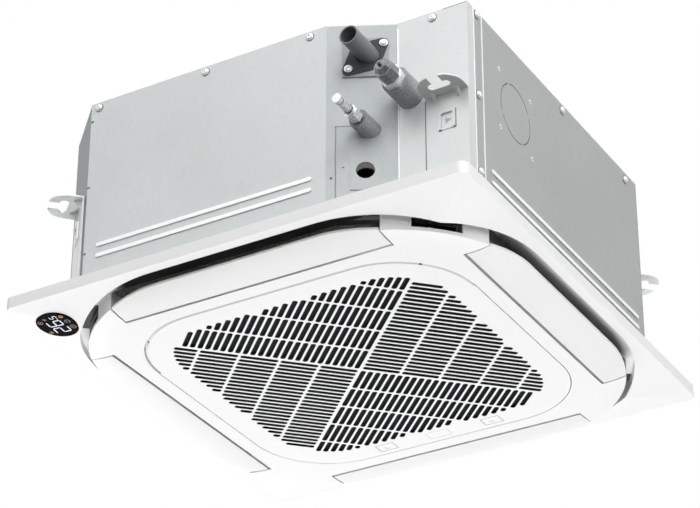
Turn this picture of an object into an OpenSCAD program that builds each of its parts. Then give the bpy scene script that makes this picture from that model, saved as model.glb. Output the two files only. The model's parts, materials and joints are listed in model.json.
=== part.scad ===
// Ceiling cassette air conditioner: a sheet-metal casing that hangs from four rods above the
// ceiling, and a square panel below it with a slotted intake grille and four air flaps.
// The origin is the middle of the four hanger hooks, in the plane where the rods' nuts bear.
// The pipes leave the casing towards -Y, and the panel faces down.

/* [Casing] */
// Width and depth of the casing
case_w = 570; // [562:1:580]
// Height of the casing
case_h = 258; // [250:1:275]
// Height of the hooks' bearing plane above the panel's lower edge
hook_h = 154; // [140:1:170]
// Height of the casing's lower edge above the panel's lower edge
case_up = 17; // [15:0.5:22]
// Thickness of the galvanised sheet
sheet_t = 1; // [0.8:0.1:1.4]
// Length that a bevelled corner takes off each side
corner_cut = 69; // [62:1:72]
// Height of the flange that the top plate turns down behind the walls
flange_h = 14; // [10:1:20]
// Width of a pressed bead
bead_w = 5; // [4:0.5:7]
// Height of a pressed bead
bead_out = 1.5; // [1:0.25:2.5]
// Distance between the two beads of a wall
bead_pitch = 14.8; // [12:0.2:20]
// Height of the lower bead above the wall's lower edge
bead_up = 37; // [30:1:45]
// Distance from the end of a bead to the wall's fold
bead_inset = 21; // [15:1:30]
// Radius of the fresh-air knockout in the right wall
knockout_r = 37.5; // [30:0.5:45]
// Width of the slit round the knockout
slit_w = 1.2; // [0.8:0.1:2]
// Distance between the pilot holes round the knockout
pilot_pitch = 81; // [76:1:90]
// Radius of a pilot hole
pilot_r = 1.5; // [1:0.25:2.5]
// Thickness of the foam liner
liner_t = 12; // [9:0.5:13]

/* [Pipe corner] */
// Length that the pipe corner takes off the front wall
notch_w = 166.4; // [160:1:172]
// Width of the recessed flat beside the near edge
notch_flat = 92.3; // [90:0.5:96]
// Depth of the recess behind the front wall
notch_d = 38; // [35:0.5:40]
// Width of the corner sheet's strip on the right wall
corner_strip = 13; // [10:0.5:18]
// Lap of the corner sheet behind the right wall
corner_lap = 20; // [15:0.5:25]
// Outer radius of the drain stub
drain_r = 12; // [10.5:0.25:12.5]
// Wall of the drain stub
drain_wall = 1.5; // [1.5:0.25:2.5]
// Length of the drain stub outside the casing
drain_out = 50; // [40:1:60]
// Height of the drain stub above the casing's lower edge
drain_up = 213.5; // [205:0.5:220]
// Distance of the drain stub from the front wall's fold, across the front
drain_in = 45; // [40:0.5:50]
// Side of the drain's flange plate
drain_plate = 54; // [50:1:56]
// Height of the gas pipe above the casing's lower edge
gas_up = 150.5; // [140:0.5:155]
// Radius of the gas pipe
gas_r = 6.35; // [5:0.05:8]
// Outer radius of the gas pipe's foam sleeve
gas_sleeve_r = 17; // [14:0.5:18]
// Length of the gas pipe's sleeve outside the casing
gas_sleeve_l = 38; // [30:1:45]
// Width across the flats of the gas flare nut
gas_nut_af = 26; // [24:0.5:28]
// Height of the liquid pipe above the casing's lower edge
liquid_up = 110.5; // [104:0.5:114]
// Distance of the liquid pipe from the front wall's fold, across the front
liquid_in = 45; // [42:0.5:48]
// Radius of the liquid pipe
liquid_r = 3.2; // [3:0.05:5]
// Outer radius of the liquid pipe's foam sleeve
liquid_sleeve_r = 12; // [9:0.5:12.5]
// Length of the liquid pipe's sleeve outside the casing
liquid_sleeve_l = 27; // [20:1:35]
// Width across the flats of the liquid flare nut
liquid_nut_af = 15; // [12:0.5:17]
// Radius of the cable entry
cable_r = 11; // [8:0.5:13]
// Height of the cable entry above the casing's lower edge
cable_up = 55; // [45:0.5:60]
// Distance along the pipe plate to the drain's flange plate and the cable entry
fitting_at = 45.5; // [42:0.5:48]

/* [Hangers] */
// Width of a hanger bracket
hanger_w = 55; // [50:1:60]
// Thickness of a hanger bracket
hanger_t = 2; // [1.6:0.1:2.4]
// Reach of the hook beyond the casing
hanger_reach = 40; // [36:0.5:44]
// Height of the flange that is fixed to the casing
hanger_drop = 136; // [120:1:136]
// Distance from the casing to the middle of the rod slot
slot_out = 21; // [19:0.5:23]
// Length of the rod slot
slot_l = 28; // [24:0.5:30]
// Width of the rod slot
slot_w = 11; // [10.5:0.25:13]
// Width of the slot's open mouth
mouth_w = 14; // [12:0.5:16]

/* [Panel] */
// Width of the square panel
panel_w = 620; // [610:1:640]
// Height of the panel's rim
rim_h = 15; // [13:0.5:16]
// Corner radius of the panel
panel_r = 10; // [6:0.5:16]
// Wall thickness of the panel's mouldings
panel_t = 2.5; // [2:0.1:3]
// Drop of the frame's face at its innermost corners
frame_drop = 10.8; // [8:0.2:12]
// Width of the frame at the middle of a side
frame_w = 12.1; // [11:0.1:14]
// Corner radius of the frame's inner edge
frame_r = 188.5; // [180:0.5:195]
// Gap between the frame and the lowered centre
centre_gap = 10.2; // [8:0.1:12]
// Corner radius of the lowered centre
centre_r = 180; // [172:0.5:186]
// Drop of the centre's face below the rim
centre_drop = 19.5; // [18.5:0.1:21]
// Rise of the flaps towards their outer edge
crown_rise = 6.8; // [5:0.1:7.5]
// Rise of the centre's face towards its round corners
corner_rise = 2.4; // [1:0.1:3]
// Width of a corner air outlet
corner_outlet = 60; // [50:1:64]
// Radius of the round display
display_r = 26; // [22:0.5:28]

/* [Flaps] */
// Length of a flap
flap_l = 359; // [340:1:360]
// Distance from the middle of the panel to a flap's inner edge
flap_in = 242.5; // [241:0.5:244]
// Thickness of a flap
flap_t = 3; // [2.5:0.1:3.5]
// Gap at a flap's inner edge
flap_gap = 4; // [3.5:0.25:5]
// Gap at a flap's ends
flap_end_gap = 2; // [1.5:0.25:3]
// Radius of a flap's pivot pins
flap_pin_r = 2.5; // [2:0.1:3]

/* [Intake grille] */
// Width of the grille
grille_w = 435; // [425:1:436]
// Corner radius of the grille
grille_r = 104; // [98:0.5:108]
// Gap round the grille
grille_gap = 1.2; // [1.2:0.1:1.6]
// Thickness of the grille's face
grille_t = 3; // [2.6:0.1:3.4]
// Thickness of the ribs between the slots
slot_t = 1.2; // [1:0.1:1.8]
// Width of the slotted field
field_w = 370; // [350:1:376]
// Corner radius of the slotted field
field_r = 75; // [65:1:85]
// Distance from slot to slot
slot_pitch = 9.3; // [8.8:0.1:11]
// Width of a slot
air_slot_w = 6.5; // [5.6:0.1:6.8]
// Distance from cross rib to cross rib
band_pitch = 50; // [40:0.5:60]
// Width of a cross rib
rib_w = 3; // [2.6:0.1:4]
// Width of the two ribs along the diagonals
cross_w = 4.2; // [3.6:0.1:5]
// Length of a latch button
latch_l = 24; // [20:0.5:28]
// Width of a latch button
latch_w = 16; // [13:0.5:17]

/* [Fan and coil] */
// Radius of the turbo fan
fan_r = 162; // [150:1:168]
// Number of blades
blades = 7; // [5:1:9]
// Thickness of a blade
blade_t = 3; // [2:0.25:4]
// Radius of the bell mouth's throat
throat_r = 105; // [95:1:108]
// Radius of the fan shaft
shaft_r = 4; // [3:0.25:5]
// Radius of the fan motor
motor_r = 62; // [55:1:66]
// Distance from the middle to the coil's inner face
coil_in = 192; // [188:1:195]
// Depth of the coil
coil_d = 26; // [20:1:28]
// Height of the drain pan
pan_h = 58; // [50:1:64]

/* [Hidden] */
$fn = 96;

// One overrun serves every cut, and one small gap every pair of loose faces
over = 1;
loose = 0.3;
running = 0.06;
fit = 0.15;

// Heights, from the panel's lower edge up
z_rim = -hook_h;
z_ceiling = z_rim + rim_h;
z_bot = z_rim + case_up;
z_top = z_bot + case_h;
z_centre = z_rim - centre_drop;
seal_t = 8.5;
z_plate = z_bot - seal_t;
z_pan = z_bot + pan_h;
trough_deep = 25;
z_trough = z_pan - trough_deep;
z_liner = z_top - sheet_t - liner_t;

// Half widths
case_half = case_w / 2;
panel_half = panel_w / 2;
frame_half = panel_half - frame_w;
centre_half = frame_half - centre_gap;
outlet_in = flap_in - flap_gap;
outlet_half = flap_l / 2 + flap_end_gap;
grille_half = grille_w / 2;
mouth_half = grille_half + grille_gap;
mouth_r = grille_r + grille_gap;
outer_wall = 11;
slot_edge = 2 * sheet_t + outer_wall;
outlet_out = case_half - slot_edge;

function unit(v) = v / norm(v);
function inward(a, b) = let (e = unit(b - a)) [-e.y, e.x];

// Outline moved inward by d, for points that go round anticlockwise
function inset(points, d) = [
    for (i = [0 : len(points) - 1])
        let (
            n = len(points),
            p = points[i],
            before = inward(points[(i + n - 1) % n], p),
            after = inward(p, points[(i + 1) % n])
        )
        p + d * (before + after) / (1 + before * after)
];

// The casing's plan, from the front wall's left end
side = case_half - corner_cut;
notch_x = case_half - notch_w;
flat_x = case_half - notch_flat;
flat_y = notch_d - case_half;
case_plan = [
    [-side, -case_half],
    [notch_x, -case_half],
    [flat_x, flat_y],
    [case_half, flat_y],
    [case_half, side],
    [side, case_half],
    [-side, case_half],
    [-case_half, side],
    [-case_half, -side]
];
skin_plan = inset(case_plan, sheet_t);
liner_plan = inset(case_plan, 2 * sheet_t);
cut_plan = inset(case_plan, slot_edge);

// The pipe plate's own direction and the places on it
plate_turn = atan2(flat_y + case_half, flat_x - notch_x);
plate_l = norm([flat_x - notch_x, flat_y + case_half]);
drain_x = notch_x + drain_in;
drain_z = z_bot + drain_up;
liquid_x = notch_x + liquid_in;
liquid_z = z_bot + liquid_up;
gas_x = flat_x + gas_sleeve_r;
gas_z = z_bot + gas_up;
cable_z = z_bot + cable_up;
// Where the coil stops, at both sides of the pipe corner
coil_clear = 1.4;
coil_stop = notch_x + coil_clear;
pipe_in = 30;
cable_rim = 2;
cable_room = 28;

// The front face of the pipe plate at one place along X
function plate_y(x) = -case_half + (x - notch_x) * tan(plate_turn);

// Shared shapes
module rounded_square(half, r) {
    square([2 * half, 2 * (half - r)], center = true);
    square([2 * (half - r), 2 * half], center = true);
    for (sx = [-1, 1], sy = [-1, 1])
        translate([sx * (half - r), sy * (half - r)])
            circle(r);
}

module rounded_plate(half, r, z0, z1) {
    translate([0, 0, z0])
        linear_extrude(z1 - z0)
            rounded_square(half, r);
}

module rounded_ring(half, r, wall, z0, z1) {
    difference() {
        rounded_plate(half, r, z0, z1);
        rounded_plate(half - wall, r - wall, z0 - over, z1 + over);
    }
}

module box(x0, x1, y0, y1, z0, z1) {
    translate([x0, y0, z0])
        cube([x1 - x0, y1 - y0, z1 - z0]);
}

// A cylinder along Y, from y0 to y1
module rod_y(x, z, r, y0, y1, sides = 48) {
    translate([x, y1, z])
        rotate([90, 0, 0])
            cylinder(h = y1 - y0, r = r, $fn = sides);
}

// A cylinder along X, from x0 to x1
module rod_x(y, z, r, x0, x1, sides = 48) {
    translate([x0, y, z])
        rotate([0, 90, 0])
            cylinder(h = x1 - x0, r = r, $fn = sides);
}

module four_sides() {
    for (turn = [0, 90, 180, 270])
        rotate([0, 0, turn])
            children();
}

// A run of the casing's sheet between two places in the plan's points
module sheet_run(first, last, z0, z1) {
    outer = [for (i = [first : last]) case_plan[i % len(case_plan)]];
    inner = [for (i = [last : -1 : first]) skin_plan[i % len(case_plan)]];
    translate([0, 0, z0])
        linear_extrude(z1 - z0)
            polygon(concat(outer, inner));
}

// A bead along X from x0 to x1, standing out of a wall that faces -Y
module bead(x0, x1, z) {
    box(x0, x1, -bead_out, 0, z - bead_w / 2, z + bead_w / 2);
    for (x = [x0, x1])
        rod_y(x, z, bead_w / 2, -bead_out, 0, 24);
}

module bead_pair(x0, x1) {
    for (z = [z_bot + bead_up, z_bot + bead_up + bead_pitch])
        bead(x0, x1, z);
}

module top_plate() {
    color("#cfd3d2") {
        translate([0, 0, z_top - sheet_t])
            linear_extrude(sheet_t)
                polygon(case_plan);
        translate([0, 0, z_top - sheet_t - flange_h])
            linear_extrude(flange_h)
                difference() {
                    polygon(skin_plan);
                    polygon(liner_plan);
                }
        top_beads();
    }
}

// Stiffening beads pressed up in the top plate, round the motor and towards the sides
top_ring_r = 118;
top_bead_w = 12;
module top_beads() {
    translate([0, 0, z_top])
        difference() {
            cylinder(h = bead_out, r = top_ring_r);
            translate([0, 0, -over])
                cylinder(h = bead_out + 2 * over, r = top_ring_r - top_bead_w);
        }
    four_sides()
        rotate([0, 0, 45])
            box(top_ring_r + top_bead_w, side + top_bead_w, -top_bead_w / 2, top_bead_w / 2,
                z_top, z_top + bead_out);
}

module wall_height(first, last) {
    sheet_run(first, last, z_bot, z_top - sheet_t);
}

// Small notches where the sheet was folded, at heights above its lower edge
notch_h = 2.4;
notch_l = 3.5;
fold_notches = [43, 136, 231];
far_notches = [72, 134, 194];

module front_wall() {
    color("#cfd3d2") {
        difference() {
            wall_height(8, 10);
            for (up = fold_notches)
                box(-side - over, notch_l - side, -case_half - over, over + sheet_t - case_half,
                    z_bot + up, z_bot + up + notch_h);
        }
        translate([0, -case_half, 0])
            bead_pair(-side + bead_inset, notch_x - bead_inset);
    }
}

module pipe_plate() {
    color("#cfd3d2")
        difference() {
            wall_height(1, 2);
            rod_y(drain_x, drain_z, drain_r + over, -case_w, 0);
            rod_y(liquid_x, liquid_z, liquid_sleeve_r + fit, -case_w, 0);
            on_pipe_plate() {
                rod_y(fitting_at, cable_z, cable_r + cable_rim, -over, sheet_t + over);
                rod_y(hole_at, z_bot + hole_up, pilot_r, -over, sheet_t + over, 24);
                box(cover_x - cover_gap, cover_x, -over, sheet_t + over, z_bot - over, cover_top + cover_gap);
                box(cover_x - over, liquid_in - liquid_sleeve_r, -over, sheet_t + over, cover_top,
                    cover_top + cover_gap);
            }
        }
}

// Room for the cables behind their entry
module cable_hollow() {
    on_pipe_plate()
        rod_y(fitting_at, cable_z, cable_r + cable_rim, -over, cable_room);
}

hole_at = 6;
hole_up = 46;
cover_gap = 1.4;
module on_pipe_plate() {
    translate([notch_x, -case_half, 0])
        rotate([0, 0, plate_turn])
            children();
}

// The flat beside the near edge, turned round the edge and lapped behind the right wall
strip_end = flat_y + corner_strip;
module corner_sheet() {
    plan = [
        case_plan[2],
        case_plan[3],
        [case_half, strip_end],
        [case_half - sheet_t, strip_end],
        [case_half - sheet_t, strip_end + corner_lap],
        [case_half - 2 * sheet_t, strip_end + corner_lap],
        [case_half - 2 * sheet_t, strip_end - sheet_t],
        [case_half - sheet_t, strip_end - sheet_t],
        skin_plan[3],
        skin_plan[2]
    ];
    color("#dde1e0")
        difference() {
            translate([0, 0, z_bot])
                linear_extrude(case_h - sheet_t - flange_h)
                    polygon(plan);
            rod_y(gas_x, gas_z, gas_sleeve_r + fit, -case_w, 0);
        }
    color("#dde1e0")
        translate([0, 0, z_top - sheet_t - flange_h])
            linear_extrude(flange_h)
                polygon([
                    case_plan[2], case_plan[3], [case_half, strip_end],
                    [case_half - sheet_t, strip_end], skin_plan[3], skin_plan[2]
                ]);
}

fold_w = 2.4;
fold_pitch = 20;
fold_out = 0.8;
knockout_y = -129;
knockout_up = 168;
knockout_z = z_bot + knockout_up;
bridge_w = 5;
module right_wall() {
    plan = [
        [case_half, strip_end],
        case_plan[4],
        case_plan[5],
        skin_plan[5],
        skin_plan[4],
        [case_half - sheet_t, strip_end]
    ];
    color("#b8baba") {
        difference() {
            translate([0, 0, z_bot])
                linear_extrude(case_h - sheet_t)
                    polygon(plan);
            knockout_slit();
            for (up = far_notches)
                box(case_half - sheet_t - over, case_half + over, side - notch_l, side + over,
                    z_bot + up, z_bot + up + notch_h);
            for (dy = [-1, 1], dz = [-1, 1])
                rod_x(knockout_y + dy * pilot_pitch / 2, knockout_z + dz * pilot_pitch / 2,
                    pilot_r, case_half - sheet_t - over, case_half + over, 24);
        }
        translate([case_half, 0, 0])
            rotate([0, 0, 90])
                bead_pair(-side + bead_inset, side - bead_inset);
        for (y = [strip_end, strip_end + fold_pitch])
            box(case_half - sheet_t / 2, case_half + fold_out, y, y + fold_w, z_bot, z_top - sheet_t);
    }
}

// The slit leaves four bridges, so that the disc can be knocked out
module knockout_slit() {
    deep = 2 * (sheet_t + over);
    translate([case_half, knockout_y, knockout_z])
        rotate([0, 90, 0])
            difference() {
                cylinder(h = deep, r = knockout_r + slit_w / 2, center = true);
                cylinder(h = 2 * deep, r = knockout_r - slit_w / 2, center = true);
                for (turn = [25, 115])
                    rotate([0, 0, turn])
                        cube([3 * knockout_r, bridge_w, 2 * deep], center = true);
            }
}

module back_wall() {
    color("#cfd3d2") {
        wall_height(5, 7);
        translate([0, case_half, 0])
            rotate([0, 0, 180])
                bead_pair(-side + bead_inset, side - bead_inset);
    }
}

module left_wall() {
    color("#8f8f8f") {
        wall_height(7, 8);
        translate([-case_half, 0, 0])
            rotate([0, 0, -90])
                bead_pair(-side + bead_inset, side - bead_inset);
    }
}

// The lower cover of the pipe corner, with the raised plate that holds the cable entry
cover_t = 1;
cover_x = 12;
cover_h = 115;
cover_top = z_bot + cover_h;
cover_ear_h = 36;
cover_ear = cover_top + cover_ear_h;
ear_w = 4;
entry_w = 35;
entry_below = 26;
entry_above = 20;
cover_hole_at = 20;
cover_hole_up = 59;
module pipe_cover() {
    right = plate_l - cover_t;
    color("#c6cacb")
        difference() {
            on_pipe_plate()
                union() {
                    rotate([90, 0, 0])
                        linear_extrude(cover_t)
                            polygon([
                                [cover_x, z_bot],
                                [right, z_bot],
                                [right, cover_ear],
                                [right - ear_w, cover_ear],
                                [right - 2 * ear_w, cover_top + ear_w],
                                [right - 3 * ear_w, cover_top],
                                [cover_x, cover_top]
                            ]);
                    box(fitting_at - entry_w / 2, fitting_at + entry_w / 2,
                        -2 * cover_t, -cover_t, cable_z - entry_below, cable_z + entry_above);
                }
            on_pipe_plate() {
                rod_y(fitting_at, cable_z, cable_r, -3 * cover_t, cover_t);
                rod_y(cover_hole_at, z_bot + cover_hole_up, pilot_r, -2 * cover_t, over, 24);
            }
            rod_y(liquid_x, liquid_z, liquid_sleeve_r + fit, -case_w, 0);
        }
}

flange_t = 2;
flange_drop = 3;
flange_z = drain_z - flange_drop;
module drain_flange() {
    color("#7b7d7e")
        difference() {
            on_pipe_plate()
                box(fitting_at - drain_plate / 2, fitting_at + drain_plate / 2, -flange_t, 0,
                    flange_z - drain_plate / 2, flange_z + drain_plate / 2);
            rod_y(drain_x, drain_z, drain_r + fit, -case_w, 0);
        }
}

// The stub's outside wall ends at a shoulder that stays clear of the slanting plate
stub_shoulder = 14;
stub_step = 0.6;
module drain_stub() {
    y = plate_y(drain_x);
    color("#6b6b6b")
        difference() {
            union() {
                rod_y(drain_x, drain_z, drain_r, y - drain_out, y - stub_shoulder);
                rod_y(drain_x, drain_z, drain_r - stub_step, y - drain_out / 2, y + pipe_in);
            }
            rod_y(drain_x, drain_z, drain_r - drain_wall, -case_w, 0);
        }
}

// The dark gasket on the flange, drawn out towards the two screws
gasket_t = 1.2;
gasket_r = 20;
gasket_end_r = 7;
gasket_reach_x = 20;
gasket_reach_z = 19;
module drain_gasket() {
    color("#2f3031")
        difference() {
            on_pipe_plate()
                translate([fitting_at, -flange_t, flange_z])
                    rotate([90, 0, 0])
                        linear_extrude(gasket_t)
                            intersection() {
                                square(drain_plate, center = true);
                                hull() {
                                    circle(gasket_r);
                                    for (side_sign = [-1, 1])
                                        translate(side_sign * [gasket_reach_x, gasket_reach_z])
                                            circle(gasket_end_r, $fn = 32);
                                }
                            }
            rod_y(drain_x, drain_z, drain_r + fit, -case_w, 0);
        }
}

// A hexagonal nut along Y from y0 to y1
module nut_y(x, z, af, y0, y1) {
    rod_y(x, z, af / sqrt(3), y0, y1, 6);
}

gas_face = flat_y - gas_sleeve_l;
header_out = 27;
header_end = 17;
feeder_pitch = 34;
gas_header_y = -coil_stop - header_out;
gas_header_r = 8;
module gas_pipe() {
    color("#b87333") {
        rod_y(gas_x, gas_z, gas_r, gas_face - loose, gas_header_y);
        translate([gas_x, gas_header_y, z_trough + header_end])
            cylinder(h = z_liner - z_trough - 2 * header_end, r = gas_header_r);
        for (z = [z_trough + feeder_pitch : feeder_pitch : z_liner - feeder_pitch])
            rod_y(gas_x, z, gas_header_r / 2, gas_header_y, -coil_stop - sheet_t, 24);
    }
}

gas_nut_l = 10;
gas_cap_l = 19;
gas_crown_l = 6;
gas_tip_l = 3;
cap_step = 1;
cap_sides = 8;
module gas_nut() {
    y1 = gas_face - loose;
    y2 = y1 - gas_nut_l;
    y3 = y2 - gas_cap_l;
    y4 = y3 - gas_crown_l;
    cap_r = gas_nut_af / 2;
    color("#8d9092") {
        nut_y(gas_x, gas_z, gas_nut_af, y2, y1);
        taper_y(gas_x, gas_z, cap_r, cap_r - cap_step, y2 + cap_step, y3);
        taper_y(gas_x, gas_z, cap_r - 2 * cap_step, gas_r, y3 + cap_step, y4);
        rod_y(gas_x, gas_z, gas_r / 3, y4 - gas_tip_l, y4 + cap_step, 24);
    }
}

// An eight-sided cap along Y that narrows from y0 outwards to y1
module taper_y(x, z, r0, r1, y0, y1) {
    translate([x, y0, z])
        rotate([90, 360 / cap_sides / 2, 0])
            cylinder(h = y0 - y1, r1 = r0, r2 = r1, $fn = cap_sides);
}

module gas_sleeve() {
    color("#5f6163")
        difference() {
            rod_y(gas_x, gas_z, gas_sleeve_r, gas_face, flat_y + sheet_t + liner_t);
            rod_y(gas_x, gas_z, gas_r + fit, -case_w, 0);
        }
}

liquid_y = plate_y(liquid_x);
liquid_face = liquid_y - liquid_sleeve_l;
liquid_run_gap = 11;
liquid_run_y = -coil_in - coil_d - liquid_run_gap;
liquid_header_r = 5;
liquid_header_x = coil_stop + sheet_t + liquid_header_r;
module liquid_pipe() {
    color("#b87333") {
        rod_y(liquid_x, liquid_z, liquid_r, liquid_face - loose, liquid_run_y);
        rod_x(liquid_run_y, liquid_z, liquid_r, liquid_header_x, liquid_x);
        translate([liquid_x, liquid_run_y, liquid_z])
            sphere(r = liquid_r);
        translate([liquid_header_x, liquid_run_y, z_pan + header_end])
            cylinder(h = z_liner - z_pan - 2 * header_end, r = liquid_header_r);
    }
}

liquid_ring_l = 3;
liquid_nut_l = 15;
liquid_collar_l = 5;
liquid_neck_l = 18;
liquid_groove_l = 2;
liquid_cap_l = 6;
module liquid_nut() {
    neck_r = liquid_nut_af / 3;
    y1 = liquid_face - loose;
    y2 = y1 - liquid_ring_l;
    y3 = y2 - liquid_nut_l;
    y4 = y3 - liquid_collar_l;
    y5 = y4 - liquid_neck_l;
    y6 = y5 - liquid_groove_l;
    color("#c9cccd") {
        rod_y(liquid_x, liquid_z, neck_r + cap_step, y2, y1);
        nut_y(liquid_x, liquid_z, liquid_nut_af, y3, y2);
        rod_y(liquid_x, liquid_z, neck_r + cap_step, y4, y3);
        rod_y(liquid_x, liquid_z, neck_r, y5, y4);
        rod_y(liquid_x, liquid_z, neck_r - cap_step, y6, y5);
        rod_y(liquid_x, liquid_z, neck_r + cap_step, y6 - liquid_cap_l, y6);
    }
}

module liquid_sleeve() {
    color("#5f6163")
        difference() {
            rod_y(liquid_x, liquid_z, liquid_sleeve_r, liquid_face, liquid_y + liner_t);
            rod_y(liquid_x, liquid_z, liquid_r + fit, -case_w, 0);
        }
}

// A hanger on a face towards -Y: the hook stands out and its flange hangs down
hook_r = 24;
gusset = 9;
gusset_w = 4;
gusset_x = 15;
tab_w = 21;
tab_h = 24;
tab_z = -36;
tab_out = 2.5;
tab_rim = 3;
key_r = 3;
module hanger() {
    color("#d9dcdc") {
        difference() {
            union() {
                hook_plate();
                box(-hanger_w / 2, hanger_w / 2, -hanger_t, 0, -hanger_drop, hanger_t);
                difference() {
                    box(-tab_w / 2, tab_w / 2, -hanger_t - tab_out, -hanger_t,
                        tab_z - tab_h / 2, tab_z + tab_h / 2);
                    box(tab_rim - tab_w / 2, tab_w / 2 - tab_rim, -hanger_t - tab_out - over, -hanger_t,
                        tab_z - tab_h / 2 - over, tab_z + tab_h / 2 - tab_rim);
                }
                translate([0, -hanger_t, tab_z])
                    rotate([90, 0, 0])
                        cylinder(h = tab_out, r1 = 2 * key_r, r2 = 0, $fn = 3);
            }
        }
        for (x = [-gusset_x, gusset_x])
            translate([x - gusset_w / 2, -hanger_t, 0])
                rotate([90, 0, 90])
                    linear_extrude(gusset_w)
                        polygon([[0, 0], [-gusset, 0], [0, -gusset]]);
    }
}

module hook_plate() {
    linear_extrude(hanger_t)
        difference() {
            intersection() {
                translate([-hanger_w / 2, -hanger_reach])
                    square([hanger_w, hanger_reach]);
                union() {
                    translate([-hanger_w / 2, hook_r - hanger_reach])
                        square([hanger_w, hanger_reach]);
                    translate([hook_r - hanger_w / 2, -hanger_reach])
                        square([hanger_w - 2 * hook_r, hook_r]);
                    for (sx = [-1, 1])
                        translate([sx * (hanger_w / 2 - hook_r), hook_r - hanger_reach])
                            circle(hook_r);
                }
            }
            translate([-mouth_w / 2, -hanger_reach - over])
                square([mouth_w, hanger_reach - slot_out + over]);
            translate([(slot_w - slot_l) / 2, -slot_out - slot_w / 2])
                square([slot_l - slot_w, slot_w]);
            for (sx = [-1, 1])
                translate([sx * (slot_l - slot_w) / 2, -slot_out])
                    circle(slot_w / 2);
        }
}

bevel_mid = (side + case_half) / 2;
near_x = case_half - hanger_w / 2;
module hanger_near() {
    translate([near_x, flat_y, 0])
        hanger();
}
module hanger_left() {
    translate([-bevel_mid, -bevel_mid, 0])
        rotate([0, 0, -45])
            hanger();
}
module hanger_right() {
    translate([bevel_mid, bevel_mid, 0])
        rotate([0, 0, 135])
            hanger();
}
module hanger_back() {
    translate([-bevel_mid, bevel_mid, 0])
        rotate([0, 0, 225])
            hanger();
}

// The casing's foam liner: walls above the drain pan and a slab under the top plate
module foam_liner() {
    color("#e8e8e4")
        difference() {
            translate([0, 0, z_pan])
                linear_extrude(z_top - sheet_t - z_pan)
                    polygon(liner_plan);
            translate([0, 0, z_pan - over])
                linear_extrude(z_liner - z_pan + over)
                    polygon(inset(case_plan, 2 * sheet_t + liner_t));
            translate([0, 0, z_liner - over])
                cylinder(h = liner_t + 2 * over, r = foot_r + motor_room);
            rod_y(drain_x, drain_z, drain_r + fit, -case_w, -case_w / 3);
            rod_y(gas_x, gas_z, gas_sleeve_r + fit, -case_w, -case_w / 3);
            rod_y(liquid_x, liquid_z, liquid_sleeve_r + fit, -case_w, -case_w / 3);
            cable_hollow();
        }
}

// The coil goes round the fan and stops at both sides of the pipe corner
coil_out = coil_in + coil_d;
coil_r = 70;
module coil_fins() {
    color("#c4c8ca")
        difference() {
            rounded_ring(coil_out, coil_r, coil_d, z_trough, z_liner);
            box(coil_stop, case_half, -case_half, -coil_stop, z_trough - over, z_liner + over);
        }
}

bend_rows = 5;
bend_rise = 30;
tube_r = 4.8;
bend_reach = 11;
bend_row = coil_in + coil_d / 4;
module coil_bends() {
    step = (z_liner - z_trough) / bend_rows;
    color("#b87333")
        for (i = [0 : bend_rows - 1]) {
            z = z_trough + (i + 1 / 2) * step;
            translate([coil_stop + sheet_t, -bend_row, z])
                rotate([90, 0, 0])
                    u_bend();
            translate([bend_row, -coil_stop - sheet_t, z])
                rotate([90, 0, -90])
                    u_bend();
        }
}

// A half ring with short straight legs, opening towards -X
module u_bend() {
    rotate([0, 0, -90])
        rotate_extrude(angle = 180)
            translate([bend_reach, 0])
                circle(tube_r, $fn = 24);
}

module coil_end_front() {
    color("#c4c8ca")
        union() {
            box(coil_stop, coil_stop + sheet_t, -coil_out, -coil_in, z_trough, z_liner);
            box(coil_stop, coil_stop + sheet_t, liquid_run_y - liquid_header_r, -coil_in,
                z_pan + liquid_header_r, z_liner);
        }
}

module coil_end_right() {
    color("#c4c8ca")
        box(coil_in, coil_out, -coil_stop - sheet_t, -coil_stop, z_trough, z_liner);
}

// The drain pan fills the casing's foot: a trough under the coil, the air outlets outside it
trough_gap = 6;
pan_hole_r = 120;
bell_flange_r = 128;
box_gap = 3;
box_w = 50;
box_x0 = bell_flange_r + box_gap;
box_x1 = box_x0 + box_w;
box_half = 116;
box_h = 46;
box_drop = 11;
z_box = z_bot - box_drop;
sump_gap = 2;
bolt_r = 2.5;
bolt_at = 212;
corner_slot_in = 306;
corner_slot_w = 24;
module drain_pan() {
    trough_half = coil_out + trough_gap;
    color("#ecebe6")
        difference() {
            translate([0, 0, z_bot])
                linear_extrude(pan_h)
                    difference() {
                        polygon(liner_plan);
                        air_outlets();
                        circle(pan_hole_r);
                        for (sx = [-1, 1], sy = [-1, 1])
                            translate([sx * bolt_at, sy * bolt_at])
                                circle(bolt_r + fit, $fn = 24);
                    }
            rounded_ring(trough_half, coil_r + trough_gap, coil_d + 2 * trough_gap,
                z_trough, z_pan + over);
            box(coil_stop + outer_wall, float_x + float_r + sump_gap, pump_y - pump_r - sump_gap,
                -coil_stop - outer_wall, z_trough, z_pan + over);
            box(box_x0 - fit, box_x1 + fit, -box_half - fit, box_half + fit,
                z_bot - over, z_box + box_h);
            cable_hollow();
        }
}

// Four long outlets, cut back where the pipe corner comes in, and three short corner outlets
module air_outlets() {
    intersection() {
        polygon(cut_plan);
        union() {
            four_sides()
                translate([-outlet_half, outlet_in])
                    square([2 * outlet_half, outlet_out - outlet_in]);
            for (turn = [45, 135, 225])
                rotate(turn)
                    translate([corner_slot_in, -corner_outlet / 2])
                        square([corner_slot_w, corner_outlet]);
        }
    }
}

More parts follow.
